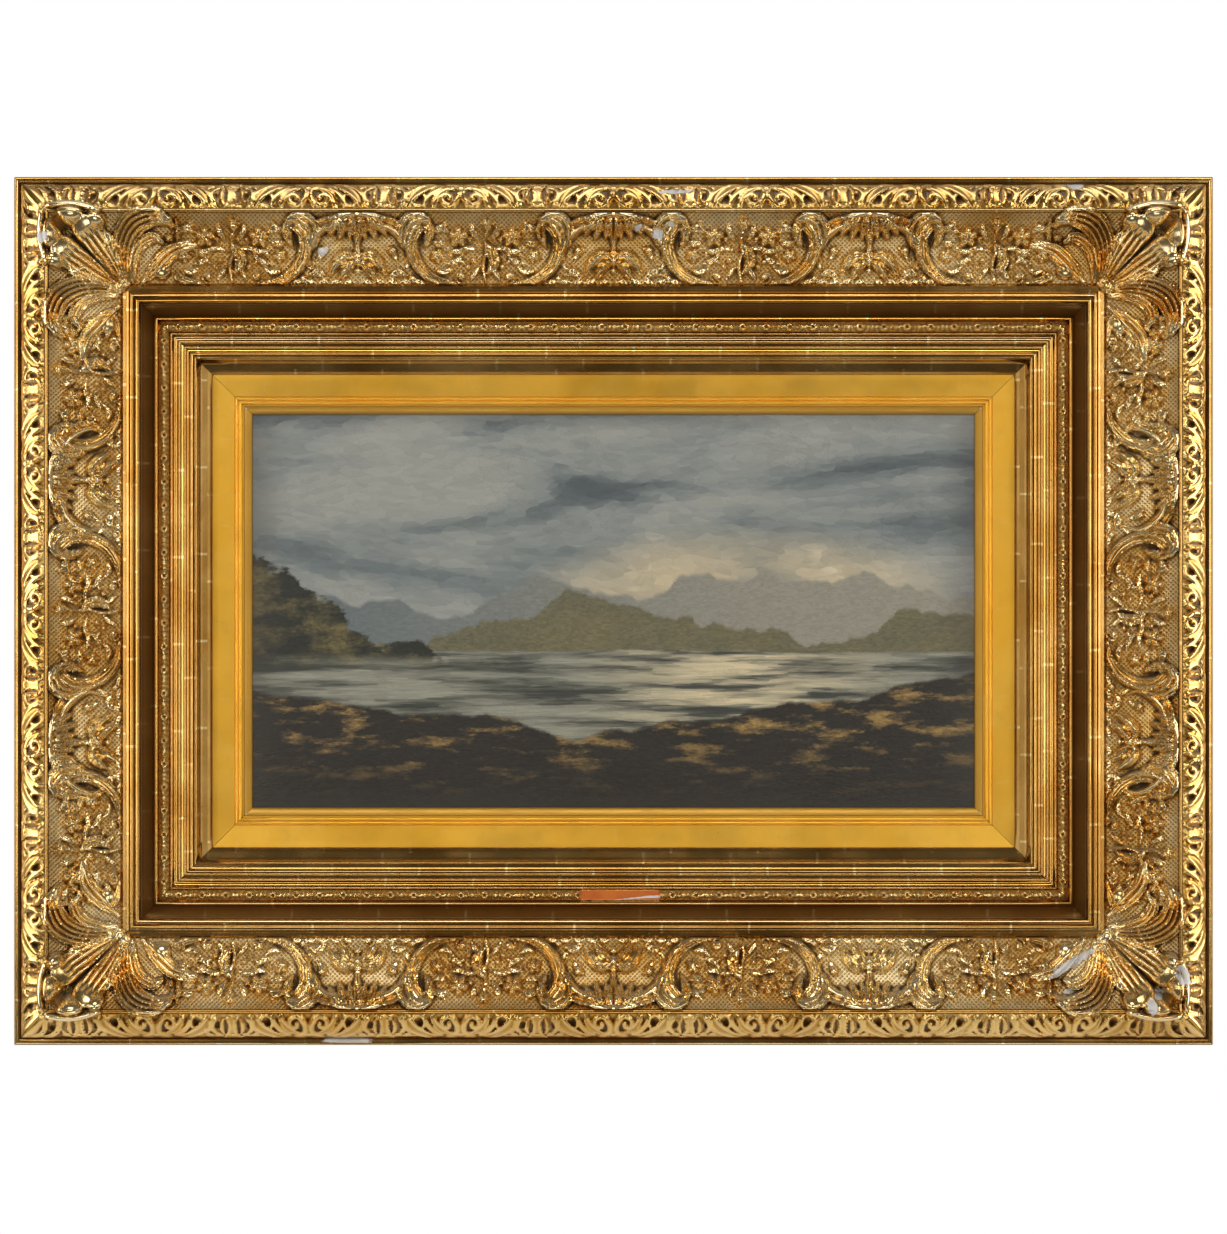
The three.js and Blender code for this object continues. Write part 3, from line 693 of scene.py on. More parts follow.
def corner_mould():
    m = Mould((14, CORNER_SPAN), (14, CORNER_SPAN))
    fine = combed(5, 0.5)
    # Long leaves: control points from root to tip, half width, height, section.
    for points, half, rise, section in [
        # the side leaf with its curled tip, its inner lobe, and the pod leaf beyond it
        ([(106, 100), (102, 80), (104, 60), (114, 45), (131, 39), (145, 43)], swell(3, 12, 5, 0.6),
         swell(6, 18, 12, 0.6), combed(5, 0.46)),
        ([(111, 97), (112, 78), (119, 64), (131, 58), (139, 62)], swell(2.5, 6.5, 2.6, 0.5),
         swell(5, 11, 7, 0.6), combed(3, 0.42)),
        ([(122, 97), (134, 84), (150, 70), (170, 65)], swell(2.5, 8.0, 2.6, 0.5), swell(5, 12, 6, 0.5),
         combed(3, 0.42)),
        # the broad fan beside the mitre, and its second lobe
        ([(103, 101), (92, 82), (80, 65), (69, 50)], swell(3, 14, 13, 0.7), swell(6, 13, 15, 0.8), fine),
        ([(105, 100), (99, 82), (93, 68), (89, 57)], swell(2.0, 8.0, 4.5, 0.7), swell(7, 12, 9, 0.7),
         combed(4, 0.44)),
        # the rolled edge of the tips, over the lip
        ([(24, 31), (42, 27.5), (62, 27.5), (82, 33)], swell(1.6, 3.8, 2.6, 0.5), swell(4, 12, 8, 0.5),
         roll),
    ]:
        stroke(m, points, half, rise, section, 40)
    # The curled tips: two great smooth knobs, and the belly of the leaf under the side leaf.
    boss(m, 55, 39, 15, 17, turn=0.1, squash=0.74)
    boss(m, 78, 43, 11, 15, turn=0.5, squash=0.9)
    boss(m, 131, 41, 6, 14, turn=0.2, squash=0.7)
    boss(m, 137, 87, 10.5, 9, turn=0.4, squash=0.9)
    # A small scroll at the inner edge, fruit and a flower.
    stroke(m, circle(154, 93, 5.4, -60, 280, 12, 0.4), swell(1.3, 2.0, 1.4), swell(4, 6, 5), roll, 26)
    boss(m, 146, 58, 4.8, 8, petals=5, turn=0.4)
    boss(m, 149, 47, 3.6, 8)
    boss(m, 176, 72, 4.4, 6.5)
    boss(m, 121, 98, 3.4, 6)
    m.h = np.maximum(m.h, m.h.T)
    # The furrow on the mitre.
    furrow = np.abs(m.s - m.w) / math.sqrt(2)
    wide = 1.0 + 3.0 * np.clip((64 - m.s) / 22, 0, 1)  # it opens out between the two tips
    m.h *= 1 - 0.62 * np.exp(-((furrow / wide) ** 4)) * (m.s < 101)
    m.h[m.h < 0.6] = 0
    boss(m, 101, 101, 7, 7)
    return m


CORNER = corner_mould()
CORNER_CAVITY = cavity_of(CORNER)


def front_height(w):
    """Height of the outer front at distance w, read from its section."""
    order = np.argsort(GROUND[:, 0], kind="stable")
    return np.interp(w, GROUND[order, 0], GROUND[order, 1])


RUBBED_FROM = 106.0  # handling wears the leaves' tops above this height
RUBBED_EASE = 3.0
CAST_STEP = 0.9  # from one point of a casting's mesh to the next
CAST_BACK = 2.5  # how far a casting's back lies under the ground


def rubbed_down(d):
    """Heights over a limit approach limit + ease and never pass it, so the tops stay rounded."""
    over = np.clip(d - RUBBED_FROM, 0, None)
    return d - over + RUBBED_EASE * (1 - np.exp(-over / RUBBED_EASE))


def corner_piece(node, sign_x, sign_z, material):
    """A closed shell over every cell that the casting covers: its front is ground plus mould, its
    back lies just under the ground, and the rim joins them."""
    line = np.arange(18, CORNER_SPAN - 2, CAST_STEP)
    a, b = np.meshgrid(line, line, indexing="ij")
    high = sampled(CORNER, CORNER.h, a, b)
    ground = front_height(np.minimum(a, b))
    count = len(line)
    number = np.arange(count * count).reshape(count, count)
    corners = np.stack([number[:-1, :-1], number[1:, :-1], number[1:, 1:], number[:-1, 1:]],
                       axis=-1).reshape(-1, 4)
    covered = high.ravel()[corners].max(axis=1) > 0.5
    cells = corners[covered]
    edges = np.concatenate([cells[:, [k, (k + 1) % 4]] for k in range(4)])
    keys = edges[:, 0] * count * count + edges[:, 1]
    back_keys = edges[:, 1] * count * count + edges[:, 0]
    rim = edges[~np.isin(keys, back_keys)]
    total = count * count
    front_d, back_d = rubbed_down(ground + high + 0.1), ground - CAST_BACK
    x = sign_x * (WIDTH / 2 - np.concatenate([a.ravel(), a.ravel()]))
    z = sign_z * (HEIGHT / 2 - np.concatenate([b.ravel(), b.ravel()]))
    d = np.concatenate([front_d.ravel(), back_d.ravel()])
    points = np.stack([x + middle[0], -d, z + middle[2]], axis=-1) / 1000
    lost = loss_at(points)
    points[:, 1] += CHIP_DEPTH / 1000 * lost * (np.arange(2 * total) < total)
    walls = np.stack([rim[:, 1], rim[:, 0], rim[:, 0] + total, rim[:, 1] + total], axis=1)
    faces = np.concatenate([cells, cells[:, ::-1] + total, walls])
    if sign_x * sign_z > 0:
        faces = faces[:, ::-1]
    used, faces = np.unique(faces, return_inverse=True)
    faces = faces.reshape(-1, 4)
    aa, bb = np.tile(a.ravel(), 2)[used], np.tile(b.ravel(), 2)[used]
    uses = {
        "rail": np.stack([aa, bb, np.full(len(used), 500.0)], axis=1) / 1000,
        "cavity": np.tile(sampled(CORNER, CORNER_CAVITY, a, b).ravel(), 2)[used],
        "relief": np.tile(high.ravel(), 2)[used],
        "loss": lost[used],
    }
    obj = add_mesh("cast_" + node, points[used], faces.tolist(), uses)
    finish_piece(obj, material, "gilt_ornament", node)


print("corner mould", CORNER.h.shape, "highest", round(float(CORNER.h.max()), 1), "mm")

# %% [markdown]
# ## The sight frame
# The inner frame is a second set of mouldings, dropped into the first: a dark hollow, a small
# half-round band with rosettes in pairs, three fine reeds, a broad shallow one and the burnished
# bevel. Its rosettes come from a roller, so they are small and even.

# %% The sight frame's section and its rosettes
torus = path((134.4, 48.2), ((144.0, 48.0), 4.4, 16))
SIGHT = np.vstack([
    path((112.3, 2), ((112.3, 40), 0, 1), ((119.5, 40), 0, 1), ((130, 49.6), -2.6, 7),
         ((130.4, 50.2), 0, 1),
         ((132.6, 50.4), 0, 1), ((133.2, 48.6), 0, 1), ((134.2, 48.0), 0, 1), ((134.8, 46.4), 0, 1),
         ((143.6, 46.2), 0, 1), ((144.4, 46.8), 0, 1), ((145, 49), 0, 1), ((146.8, 49), 0.4, 3),
         ((147.4, 47.2), 0, 1),
         ((151.6, 46.4), -1.0, 4), ((152.2, 48), 0, 1), ((154.6, 47.6), 0.7, 4), ((155.2, 45.4), 0, 1),
         ((156.8, 45.0), 0, 1), ((157.4, 46.6), 0, 1), ((159.6, 46.2), 0.6, 4), ((160.4, 44.8), 0, 1),
         ((161.4, 45.2), 0, 1), ((167.2, 41.4), -1.5, 6), ((167.8, 42.6), 0, 1), ((169.4, 42.2), 0.3, 2),
         ((170.2, 40.6), 0, 1), ((182.6, 32.3), 0, 3), ((183.2, 31.5), 0, 1)),
    np.array([(183.2, 29.6), (176.1, 29.6), (176.1, 2)]),
])
SIGHT_BACK = LINER_BACK = 3  # each section's last three rows are its back
SIGHT_SHADE = np.where(SIGHT[:, 0] < 131, 3.0, 0.0)  # the hollow is painted darker through the toning: painted shade
ROSETTE_DEPTH = 5.6  # the strip reaches this far back, so it still has a wall under the plate
ROSETTE_STRIP = strip(torus, ROSETTE_DEPTH, 3)
ROSETTE_PAIR = 43.8
PLATE = {"at": 6.0, "half": 37.5}  # where the lost name plate was, from the frame's middle


def under_plate(s, w):
    """1 on the bed that the plate left and 0 elsewhere, with edges 0.8 mm wide. The bottom rail's s
    runs leftwards, so the plate's place changes sign."""
    return np.clip((PLATE["half"] - np.abs(s + PLATE["at"])) / 0.8, 0, 1) + 0 * w


def rosette_mould():
    """Two volutes side by side: a ring round a hole, a bead at its side, and a trailing leaf."""
    m = Mould((-ROSETTE_PAIR / 2 - 2, ROSETTE_PAIR / 2 + 2), (133, 146))
    for s, turn in ((-10.9, 0), (10.9, 140)):
        stroke(m, circle(s, 139.2, 3.1, turn, turn + 400, 14, 0.75), swell(1.0, 1.5, 1.1),
               swell(1.9, 2.6, 2.4), roll, 30)
        stroke(m, circle(s + 1.2, 139.2, 6.2, -62, 62, 7), swell(0.7, 1.2, 0.7), swell(1.2, 2.2, 1.2), roll,
               14)
        stroke(m, circle(s - 1.2, 139.2, 6.0, 125, 235, 7), swell(0.6, 1.0, 0.6), swell(1.0, 1.8, 1.0),
               roll, 12)
        boss(m, s - 5.2, 138.4, 1.3, 2.4)
    for s in (-ROSETTE_PAIR / 2, 0, ROSETTE_PAIR / 2):
        stroke(m, [(s - 1.5, 135.4), (s + 0.6, 139), (s - 1.2, 142.8)], swell(0.8, 1.6, 0.8),
               swell(0.9, 2.0, 0.9), veined, 10)
    for s in (-10.9, 10.9):
        drill(m, s, 139.2, 1.2, 1.4)
    return m


ROSETTES = rosette_mould()


def rosette_height(s, w):
    """The rosette mould repeated along the rail: s is folded into one pair's length."""
    folded = (s + ROSETTE_PAIR / 2) % ROSETTE_PAIR - ROSETTE_PAIR / 2
    return sampled(ROSETTES, ROSETTES.h, folded, w)


# A cavity number that is high on the low ground between the rosettes, so that the toning paints it darker:
# painted shade.
def rosette_shade_cavity(s, w):
    return 3.6 - 2.6 * rosette_height(s, w)


def plated_height(s, w):
    """On the bottom rail the band is gone under the plate: the surface drops to a flat bed."""
    round_top = 48.1 + 4.4 * np.clip(1 - ((w - 139.2) / 4.8) ** 2, 0, 1)
    under = under_plate(s, w)
    bed = 48.4 + 0.2 * rough(s, w, 5) - round_top
    return (1 - under) * rosette_height(s, w) + under * bed


print("rosette mould", ROSETTES.h.shape, "sight section", len(SIGHT), "points")

# %% [markdown]
# ## The liner
# Between the sight frame and the paint is a flat liner. It has no carving, so its section alone
# says it all: the matt flat, two fine reeds and the burnished bevel that meets the picture.

# %% The liner's section
LINER = np.vstack([
    path((176.4, 6), ((176.4, 29.3), 0, 1), ((184, 29.3), 0, 1), ((203.2, 26.5), 0, 4),
         ((203.6, 25.4), 0, 1),
         ((204.2, 25.3), 0, 1), ((204.6, 26.3), 0, 1), ((206.6, 26.0), 0.3, 3), ((207.0, 25.0), 0, 1),
         ((207.6, 24.9), 0, 1), ((208.0, 25.8), 0, 1), ((210.2, 25.5), 0.3, 3), ((210.8, 24.4), 0, 1),
         ((212.4, 24.2), 0, 1), ((212.8, 25.2), 0, 1), ((219.4, 22.2), 0.4, 4), ((220, 21.6), 0, 1)),
    np.array([(220, 20.9), (212.5, 20.9), (212.5, 6)]),
])
SLIP_FROM = 212.3
LINER_SHADE = np.where(LINER[:, 0] > SLIP_FROM, 5.0, 0.0)  # the slip is painted darker through the toning: painted shade
print("liner section", len(LINER), "points")

# %% [markdown]
# ## Short ways to build a material
# Node trees get long in code. This small helper adds a node, sets its options, and links or fills
# its sockets in one call, so that each material reads like a recipe.

# %% The node helper
class Recipe:
    """Adds nodes to one tree. A value given for a socket may be a number, a colour or a socket."""

    def __init__(self, tree):
        self.tree = tree

    def node(self, kind, sockets=None, **options):
        made = self.tree.nodes.new("ShaderNode" + kind)
        for key, value in options.items():
            setattr(made, key, value)
        for key, value in (sockets or {}).items():
            self.fill(made.inputs[key], value)
        return made

    def fill(self, socket, value):
        if isinstance(value, bpy.types.NodeSocket):
            self.tree.links.new(value, socket)
        elif isinstance(value, (tuple, list)) and socket.type == "RGBA" and len(value) == 3:
            socket.default_value = (*value, 1.0)
        else:
            socket.default_value = value

    def maths(self, operation, *values, clamp=False):
        made = self.node("Math", operation=operation, use_clamp=clamp)
        for k, value in enumerate(values):
            self.fill(made.inputs[k], value)
        return made.outputs[0]

    def times(self, a, b, **more):
        return self.maths("MULTIPLY", a, b, **more)

    def plus(self, a, b):
        return self.maths("ADD", a, b)

    def less(self, a, b):
        return self.maths("SUBTRACT", a, b)

    def larger(self, a, b, **more):
        return self.maths("MAXIMUM", a, b, **more)

    def blend(self, share, a, b, way="MIX"):
        made = self.node("Mix", data_type="RGBA", blend_type=way)
        for socket, value in ((made.inputs[0], share), (made.inputs[6], a), (made.inputs[7], b)):
            self.fill(socket, value)
        return made.outputs[2]

    def ramp(self, value, low, high, to_low=0.0, to_high=1.0):
        """Maps low..high to to_low..to_high with soft ends."""
        made = self.node("MapRange", interpolation_type="SMOOTHSTEP")
        for key, v in (("Value", value), ("From Min", low), ("From Max", high), ("To Min", to_low),
                       ("To Max", to_high)):
            self.fill(made.inputs[key], v)
        return made.outputs[0]

    def noise(self, vector, scale, detail=3.0, roughness=0.55, distortion=0.0):
        made = self.node("TexNoise", {"Scale": scale, "Detail": detail, "Roughness": roughness,
                                      "Distortion": distortion})
        self.fill(made.inputs["Vector"], vector)
        return made.outputs["Fac"]

    def stretched(self, vector, scale, location=(0, 0, 0)):
        made = self.node("Mapping", {"Scale": scale, "Location": location})
        self.fill(made.inputs["Vector"], vector)
        return made.outputs[0]

    def attribute(self, name):
        made = self.node("Attribute")
        made.attribute_name = name
        return made

    def group(self, tree, sockets):
        made = self.node("Group", node_tree=tree)
        for key, value in sockets.items():
            self.fill(made.inputs[key], value)
        return made.outputs


def new_group(name, inputs, outputs):
    """An empty node group with its sockets, its recipe, and its input and output nodes."""
    tree = bpy.data.node_groups.new(name, "ShaderNodeTree")
    for label, kind, value in inputs:
        socket = tree.interface.new_socket(label, in_out="INPUT", socket_type="NodeSocket" + kind)
        if value is not None:
            socket.default_value = value
    for label, kind in outputs:
        tree.interface.new_socket(label, in_out="OUTPUT", socket_type="NodeSocket" + kind)
    return (tree, Recipe(tree), tree.nodes.new("NodeGroupInput").outputs,
            tree.nodes.new("NodeGroupOutput").inputs)


def new_material(name):
    material = bpy.data.materials.new(name)
    material.use_nodes = True
    tree = material.node_tree
    return material, Recipe(tree), tree.nodes["Principled BSDF"].inputs


print("recipe helper ready")

# %% [markdown]
# ## Gold leaf
# Gold leaf is real metal, so its shader is metallic, and its colour is what the metal reflects.
# What makes it look like leaf and not like brass paint are faults: leaves overlap in a faint line
# at every leaf's width, the red clay grins through where it is rubbed, the hollows keep a brown
# toning of old size and dust, and the burnish comes and goes. The hollows are also painted dark
# brown as painted shade, and the proud forms paler as painted highlight. One node group holds these
# for every gilded piece, and each material gives it its own amounts. Scar and Back are 1 only on the
# pieces that can show the lost plate or the bare wood behind, because the renderer leaves out a
# pattern that is multiplied by nought.

# %% The gold leaf group
LEAF = 0.0812  # from one leaf's lap to the next, in metres
MEMBER = 0.0105  # the width of one member of a moulding, in metres
WEDGE_LENGTH = 0.047  # the sliver of bare gesso, from the plate's end to its point, in metres
NET_LINES = 1500.0  # the pressed net's sine turns this many radians to the metre
WEDGE_FOOT, WEDGE_RISE = 0.1349, 0.0029  # its middle line starts at the band's lower edge and climbs


def gold_leaf_group():
    tree, r, inp, out = new_group(
        "gold_leaf",
        [("Gold", "Color", (0.9, 0.62, 0.26, 1)), ("Deep Gold", "Color", (0.72, 0.38, 0.1, 1)),
         ("Toning_and_Shade", "Float", 0.6),
         ("Laps", "Float", 0.5), ("Rub", "Float", 0.3), ("Burnish", "Float", 0.25), ("Matt", "Float", 0.5),
         ("Net", "Float", 0.0), ("Dents", "Float", 0.5), ("Dust", "Float", 0.5), ("Scar", "Float", 0.0),
         ("Back", "Float", 0.0)],
        [("Color", "Color"), ("Roughness", "Float"), ("Metallic", "Float"), ("Height", "Float")],
    )
    rail = r.attribute("rail").outputs["Vector"]
    cavity = r.attribute("cavity").outputs["Fac"]
    relief = r.attribute("relief").outputs["Fac"]
    loss = r.attribute("loss").outputs["Fac"]
    place = r.node("TexCoord").outputs["Object"]
    rail_parts = r.node("SeparateXYZ", {"Vector": rail})
    along, across = rail_parts.outputs["X"], rail_parts.outputs["Y"]
    plate = r.times(r.attribute("plate").outputs["Fac"], inp["Scar"])

    # Colour wanders between pale and orange gold from leaf to leaf and within a leaf.
    # Each member of the moulding was laid by itself, so its laps fall in places of their own.
    member = r.node("TexWhiteNoise", noise_dimensions="1D")
    r.fill(member.inputs["W"], r.maths("FLOOR", r.maths("DIVIDE", across, MEMBER)))
    leaves_along = r.plus(r.maths("DIVIDE", along, LEAF), r.times(member.outputs["Value"], 0.8))
    leaf_number = r.maths("FLOOR", leaves_along)
    per_leaf = r.node("TexWhiteNoise", noise_dimensions="1D")
    r.fill(per_leaf.inputs["W"], leaf_number)
    wander = r.noise(place, 9.0, 4.0, 0.6, 0.6)
    tone = r.plus(r.ramp(wander, 0.3, 0.72), r.times(per_leaf.outputs["Value"], 0.22))
    # Cavities lean to the deep gold and proud forms to the pale gold: painted shade and painted highlight.
    tone = r.plus(tone, r.less(r.ramp(cavity, -2.6, 2.6), 0.5))
    colour = r.blend(r.times(tone, 1.0, clamp=True), inp["Gold"], inp["Deep Gold"])

    # The lap: where the distance to the nearest leaf edge is under a millimetre.
    in_leaf = r.maths("ABSOLUTE", r.less(r.maths("FRACT", leaves_along), 0.5))
    lap = r.ramp(in_leaf, 0.478, 0.492)
    lap = r.times(r.times(lap, r.ramp(r.noise(place, 120.0, 2.0), 0.35, 0.6)), inp["Laps"])
    colour = r.blend(lap, colour, (1.0, 0.8, 0.42))

    # Rubbed high spots show the clay as fine specks and scratches.
    specks = r.noise(place, 260.0, 5.0, 0.7, 0.3)
    proud = r.ramp(cavity, -0.8, -4.5)
    rubbed = r.times(r.plus(0.25, proud), inp["Rub"])
    clay = r.ramp(r.plus(specks, r.times(rubbed, 0.22)), 0.68, 0.76)
    colour = r.blend(r.times(clay, 0.7), colour, (0.34, 0.1, 0.03))

    # Toning lies in the cavities, and a little everywhere in soft clouds. In the cavities its dark brown is
    # also painted shade.
    clouds = r.noise(place, 38.0, 5.0, 0.62)
    deep = r.times(r.ramp(r.plus(cavity, r.times(clouds, 1.6)), 1.7, 5.4), inp["Toning_and_Shade"])
    veil = r.times(r.ramp(clouds, 0.45, 0.8), r.times(inp["Toning_and_Shade"], 0.2))
    colour = r.blend(r.larger(deep, veil), colour, (0.06, 0.03, 0.01))

    # The ground of the cove carries a fine pressed net of diamonds, and its pits are painted darker: painted
    # shade.
    bare = r.ramp(relief, 1.2, 0.3)
    one = r.maths("SINE", r.times(r.plus(along, across), NET_LINES))
    two = r.maths("SINE", r.times(r.less(along, across), NET_LINES))
    lines = r.larger(one, two)
    net = r.times(r.times(lines, bare), inp["Net"])
    pit_shade = r.times(r.times(r.ramp(lines, 0.95, 0.1), bare), inp["Net"])
    colour = r.blend(r.times(pit_shade, 0.5), colour, (0.16, 0.09, 0.025))

    # Breaks are white whiting with a dirty edge.
    broken = r.ramp(r.plus(loss, r.times(specks, 0.5)), 0.62, 0.78)
    rim = r.ramp(loss, 0.1, 0.5)
    colour = r.blend(r.times(rim, 0.5), colour, (0.25, 0.1, 0.04))
    chalk = r.blend(r.ramp(clouds, 0.35, 0.75), (0.88, 0.86, 0.82), (0.62, 0.57, 0.5))
    colour = r.blend(broken, colour, chalk)

    # Dust greys whatever looks up.
    up = r.node("SeparateXYZ", {"Vector": r.node("NewGeometry").outputs["Normal"]}).outputs["Z"]
    dusty = r.times(r.ramp(r.plus(up, r.times(clouds, 0.5)), 0.8, 1.3), inp["Dust"])
    colour = r.blend(dusty, colour, (0.2, 0.17, 0.13))

    # Under the lost name plate the clay is bare, and a wedge of it has come away from the gesso.
    red_clay = r.blend(r.ramp(clouds, 0.3, 0.75), (0.74, 0.19, 0.02), (0.56, 0.12, 0.01))
    from_end = r.plus(along, (PLATE["at"] + PLATE["half"]) / 1000)
    fat = r.ramp(from_end, WEDGE_LENGTH, 0.0)
    middle_line = r.plus(WEDGE_FOOT, r.times(fat, WEDGE_RISE))
    half_width = r.plus(0.0002, r.times(fat, 0.001))
    ragged = r.times(r.less(r.noise(place, 300.0, 3.0), 0.5), 0.0014)
    off_line = r.maths("ABSOLUTE", r.less(across, middle_line))
    inside = r.less(r.plus(half_width, ragged), off_line)
    chalky = r.times(r.ramp(inside, -0.0001, 0.0003), r.ramp(from_end, WEDGE_LENGTH, WEDGE_LENGTH * 0.96))
    colour = r.blend(plate, colour, r.blend(chalky, red_clay, (0.78, 0.74, 0.72)))

    dull = r.larger(r.larger(deep, r.larger(broken, plate)), dusty)
    patches = r.times(r.ramp(r.noise(place, 21.0, 3.0), 0.3, 0.75), 0.1)
    rough_gold = r.plus(r.plus(inp["Burnish"], patches), r.times(bare, r.times(inp["Matt"], inp["Net"])))

    # Behind, the wood is bare. The outer sides, which nobody sees on a wall, are flat ochre paint.
    behind = r.node("SeparateXYZ", {"Vector": r.node("NewGeometry").outputs["Normal"]}).outputs["Y"]
    timber = r.larger(r.attribute("timber").outputs["Fac"], r.ramp(behind, 0.5, 0.8))
    timber = r.times(timber, inp["Back"])
    ochre = r.times(r.ramp(across, 0.0009, 0.0004), inp["Back"])
    fibres = r.noise(r.stretched(rail, (14, 160, 1)), 1.0, 5.0, 0.6, 0.8)
    wood = r.blend(r.ramp(fibres, 0.35, 0.65), (0.42, 0.27, 0.14), (0.27, 0.16, 0.075))
    colour = r.blend(ochre, colour,
                     r.blend(r.ramp(clouds, 0.3, 0.75), (0.38, 0.22, 0.06), (0.27, 0.145, 0.035)))
    colour = r.blend(timber, colour, wood)
    ungilt = r.larger(timber, ochre)

    dull = r.larger(dull, ungilt)
    r.fill(out["Roughness"], r.larger(rough_gold, r.times(dull, 0.75), clamp=True))
    metal = r.less(1.0, r.larger(r.times(deep, 0.75),
                                 r.larger(r.larger(broken, plate), r.times(dusty, 0.8))))
    r.fill(out["Metallic"], r.times(r.larger(metal, 0.0), r.less(1.0, ungilt)))
    grain = r.times(r.noise(place, 700.0, 3.0), r.plus(0.08, r.times(inp["Dents"], 0.5)))
    dents = r.times(r.noise(place, 55.0, 3.0), inp["Dents"])
    height = r.plus(r.plus(grain, dents), net)
    r.fill(out["Height"], r.plus(height, r.times(lap, 0.4)))
    r.fill(out["Color"], colour)
    return tree


GOLD_LEAF = gold_leaf_group()


def gilding(name, bump, **amounts):
    """A gilded material: the gold leaf group's outputs feed one metallic shader."""
    material, r, shader = new_material(name)
    leaf = r.group(GOLD_LEAF, amounts)
    for socket in ("Roughness", "Metallic"):
        r.fill(shader[socket], leaf[socket])
    r.fill(shader["Base Color"], leaf["Color"])
    raised = r.node("Bump", {"Strength": 1.0, "Distance": bump, "Height": leaf["Height"]})
    r.fill(shader["Normal"], raised.outputs[0])
    return material


ornament_gold = gilding("ornament_gold", 0.0003, **{
    "Gold": (0.98, 0.78, 0.43, 1), "Deep Gold": (0.72, 0.43, 0.12, 1), "Toning_and_Shade": 1.1, "Laps": 0.0,
    "Rub": 0.05,
    "Burnish": 0.17, "Matt": 0.14, "Net": 1.0, "Dents": 0.14, "Dust": 0.6})
band_gold = gilding("band_gold", 0.0002, **{
    "Gold": (0.87, 0.58, 0.2, 1), "Deep Gold": (0.62, 0.33, 0.06, 1), "Toning_and_Shade": 0.9, "Laps": 0.0,
    "Rub": 0.12,
    "Burnish": 0.24, "Matt": 0.0, "Net": 0.0, "Dents": 0.3, "Dust": 0.35})
rosette_gold = gilding("rosette_gold", 0.0001, **{
    "Gold": (0.96, 0.7, 0.3, 1), "Deep Gold": (0.84, 0.53, 0.16, 1), "Toning_and_Shade": 0.75, "Laps": 0.0,
    "Rub": 0.1,
    "Burnish": 0.24, "Matt": 0.0, "Net": 0.0, "Dents": 0.1, "Dust": 0.2, "Scar": 1.0})
# The mouldings' gold is darker and browner than the ornament's: partly a toning glaze, partly painted shade
# that deepens the burnished flats.
moulding_gold = gilding("moulding_gold", 0.0001, **{
    "Gold": (0.58, 0.35, 0.11, 1), "Deep Gold": (0.4, 0.2, 0.042, 1), "Toning_and_Shade": 0.5, "Laps": 0.4,
    "Rub": 0.3,
    "Burnish": 0.13, "Matt": 0.0, "Net": 0.0, "Dents": 0.02, "Dust": 0.15, "Back": 1.0})
liner_gold = gilding("liner_gold", 0.0001, **{
    "Gold": (1.0, 0.57, 0.08, 1), "Deep Gold": (0.95, 0.5, 0.05, 1), "Toning_and_Shade": 0.5, "Laps": 0.08,
    "Rub": 0.1,
    "Burnish": 0.36, "Matt": 0.0, "Net": 0.0, "Dents": 0.03, "Dust": 0.0, "Back": 1.0})
print("gilded materials made")

# %% [markdown]
# ## Setting the rails
# With sections, moulds and materials ready, the rails are a loop over the four sides.

# %% Outer, sight and liner rails
def none(s, w):
    return np.zeros(np.broadcast(s, w).shape)


PLAIN_COLUMNS = 30
BAND_PITCH, COVE_PITCH, ROSETTE_PITCH = 1.28, 1.4, 1.2  # mm of rail to each column of the mesh
ROSETTES_SHORTER = 278  # the rosette band is this much shorter than the outer rail
PLAIN = np.zeros(1, bool)
for side, (turn, size) in SIDES.items():
    length, half = size["length"], size["half"]
    m, hollow = MAPS[length], CAVITIES[length]
    lift = lambda s, w: sampled(m, m.h, s, w)
    hollows = lambda s, w: sampled(m, hollow, s, w)
    # The band's cavity number, raised so that the toning paints shade round its scrolls.
    band_shaded_hollows = lambda s, w: BAND_SHADE_TONING * hollows(s, w)
    rosettes = plated_height if side == "bottom" else rosette_height
    # The number after the cavity function is the shade of the plain rows: on the strips it darkens their
    # edge rows where they meet the moulding, a painted shade.
    pieces = [
        ("outer_moulding_", OUTER, PLAIN, PLAIN_COLUMNS, none, none, 0.0, len(outer_back), moulding_gold,
         "gilt_moulding", "outer_rail_"),
        ("band_ornament_", BAND_STRIP, front_rows(BAND_STRIP, len(band_ground)), length / BAND_PITCH, lift,
         band_shaded_hollows, 3.0, 0,
         band_gold, "gilt_ornament", "outer_rail_"),
        ("cove_ornament_", COVE_STRIP, front_rows(COVE_STRIP, len(cove_ground)), length / COVE_PITCH, lift,
         hollows, 3.0, 0,
         ornament_gold, "gilt_ornament", "outer_rail_"),
        ("sight_moulding_", SIGHT, PLAIN, PLAIN_COLUMNS, none, none, SIGHT_SHADE, SIGHT_BACK, moulding_gold,
         "gilt_moulding", "sight_rail_"),
        ("rosette_band_", ROSETTE_STRIP, front_rows(ROSETTE_STRIP, len(torus)),
         (length - ROSETTES_SHORTER) / ROSETTE_PITCH, rosettes,
         rosette_shade_cavity, 2.0, 0, rosette_gold, "gilt_moulding", "sight_rail_"),
        ("flat_liner_", LINER, PLAIN, PLAIN_COLUMNS, none, none, LINER_SHADE, LINER_BACK, liner_gold,
         "gilt_liner", "liner_"),
    ]
    for name, outline, carved, columns, height, cavity, shade, behind, material, slot, node in pieces:
        bare = under_plate if name + side == "rosette_band_bottom" else none
        rail = rail_piece(name + side, outline, carved, turn, length, half, int(columns), height, cavity,
                          shade,
                          bare, behind)
        finish_piece(rail, material, slot, node + side)

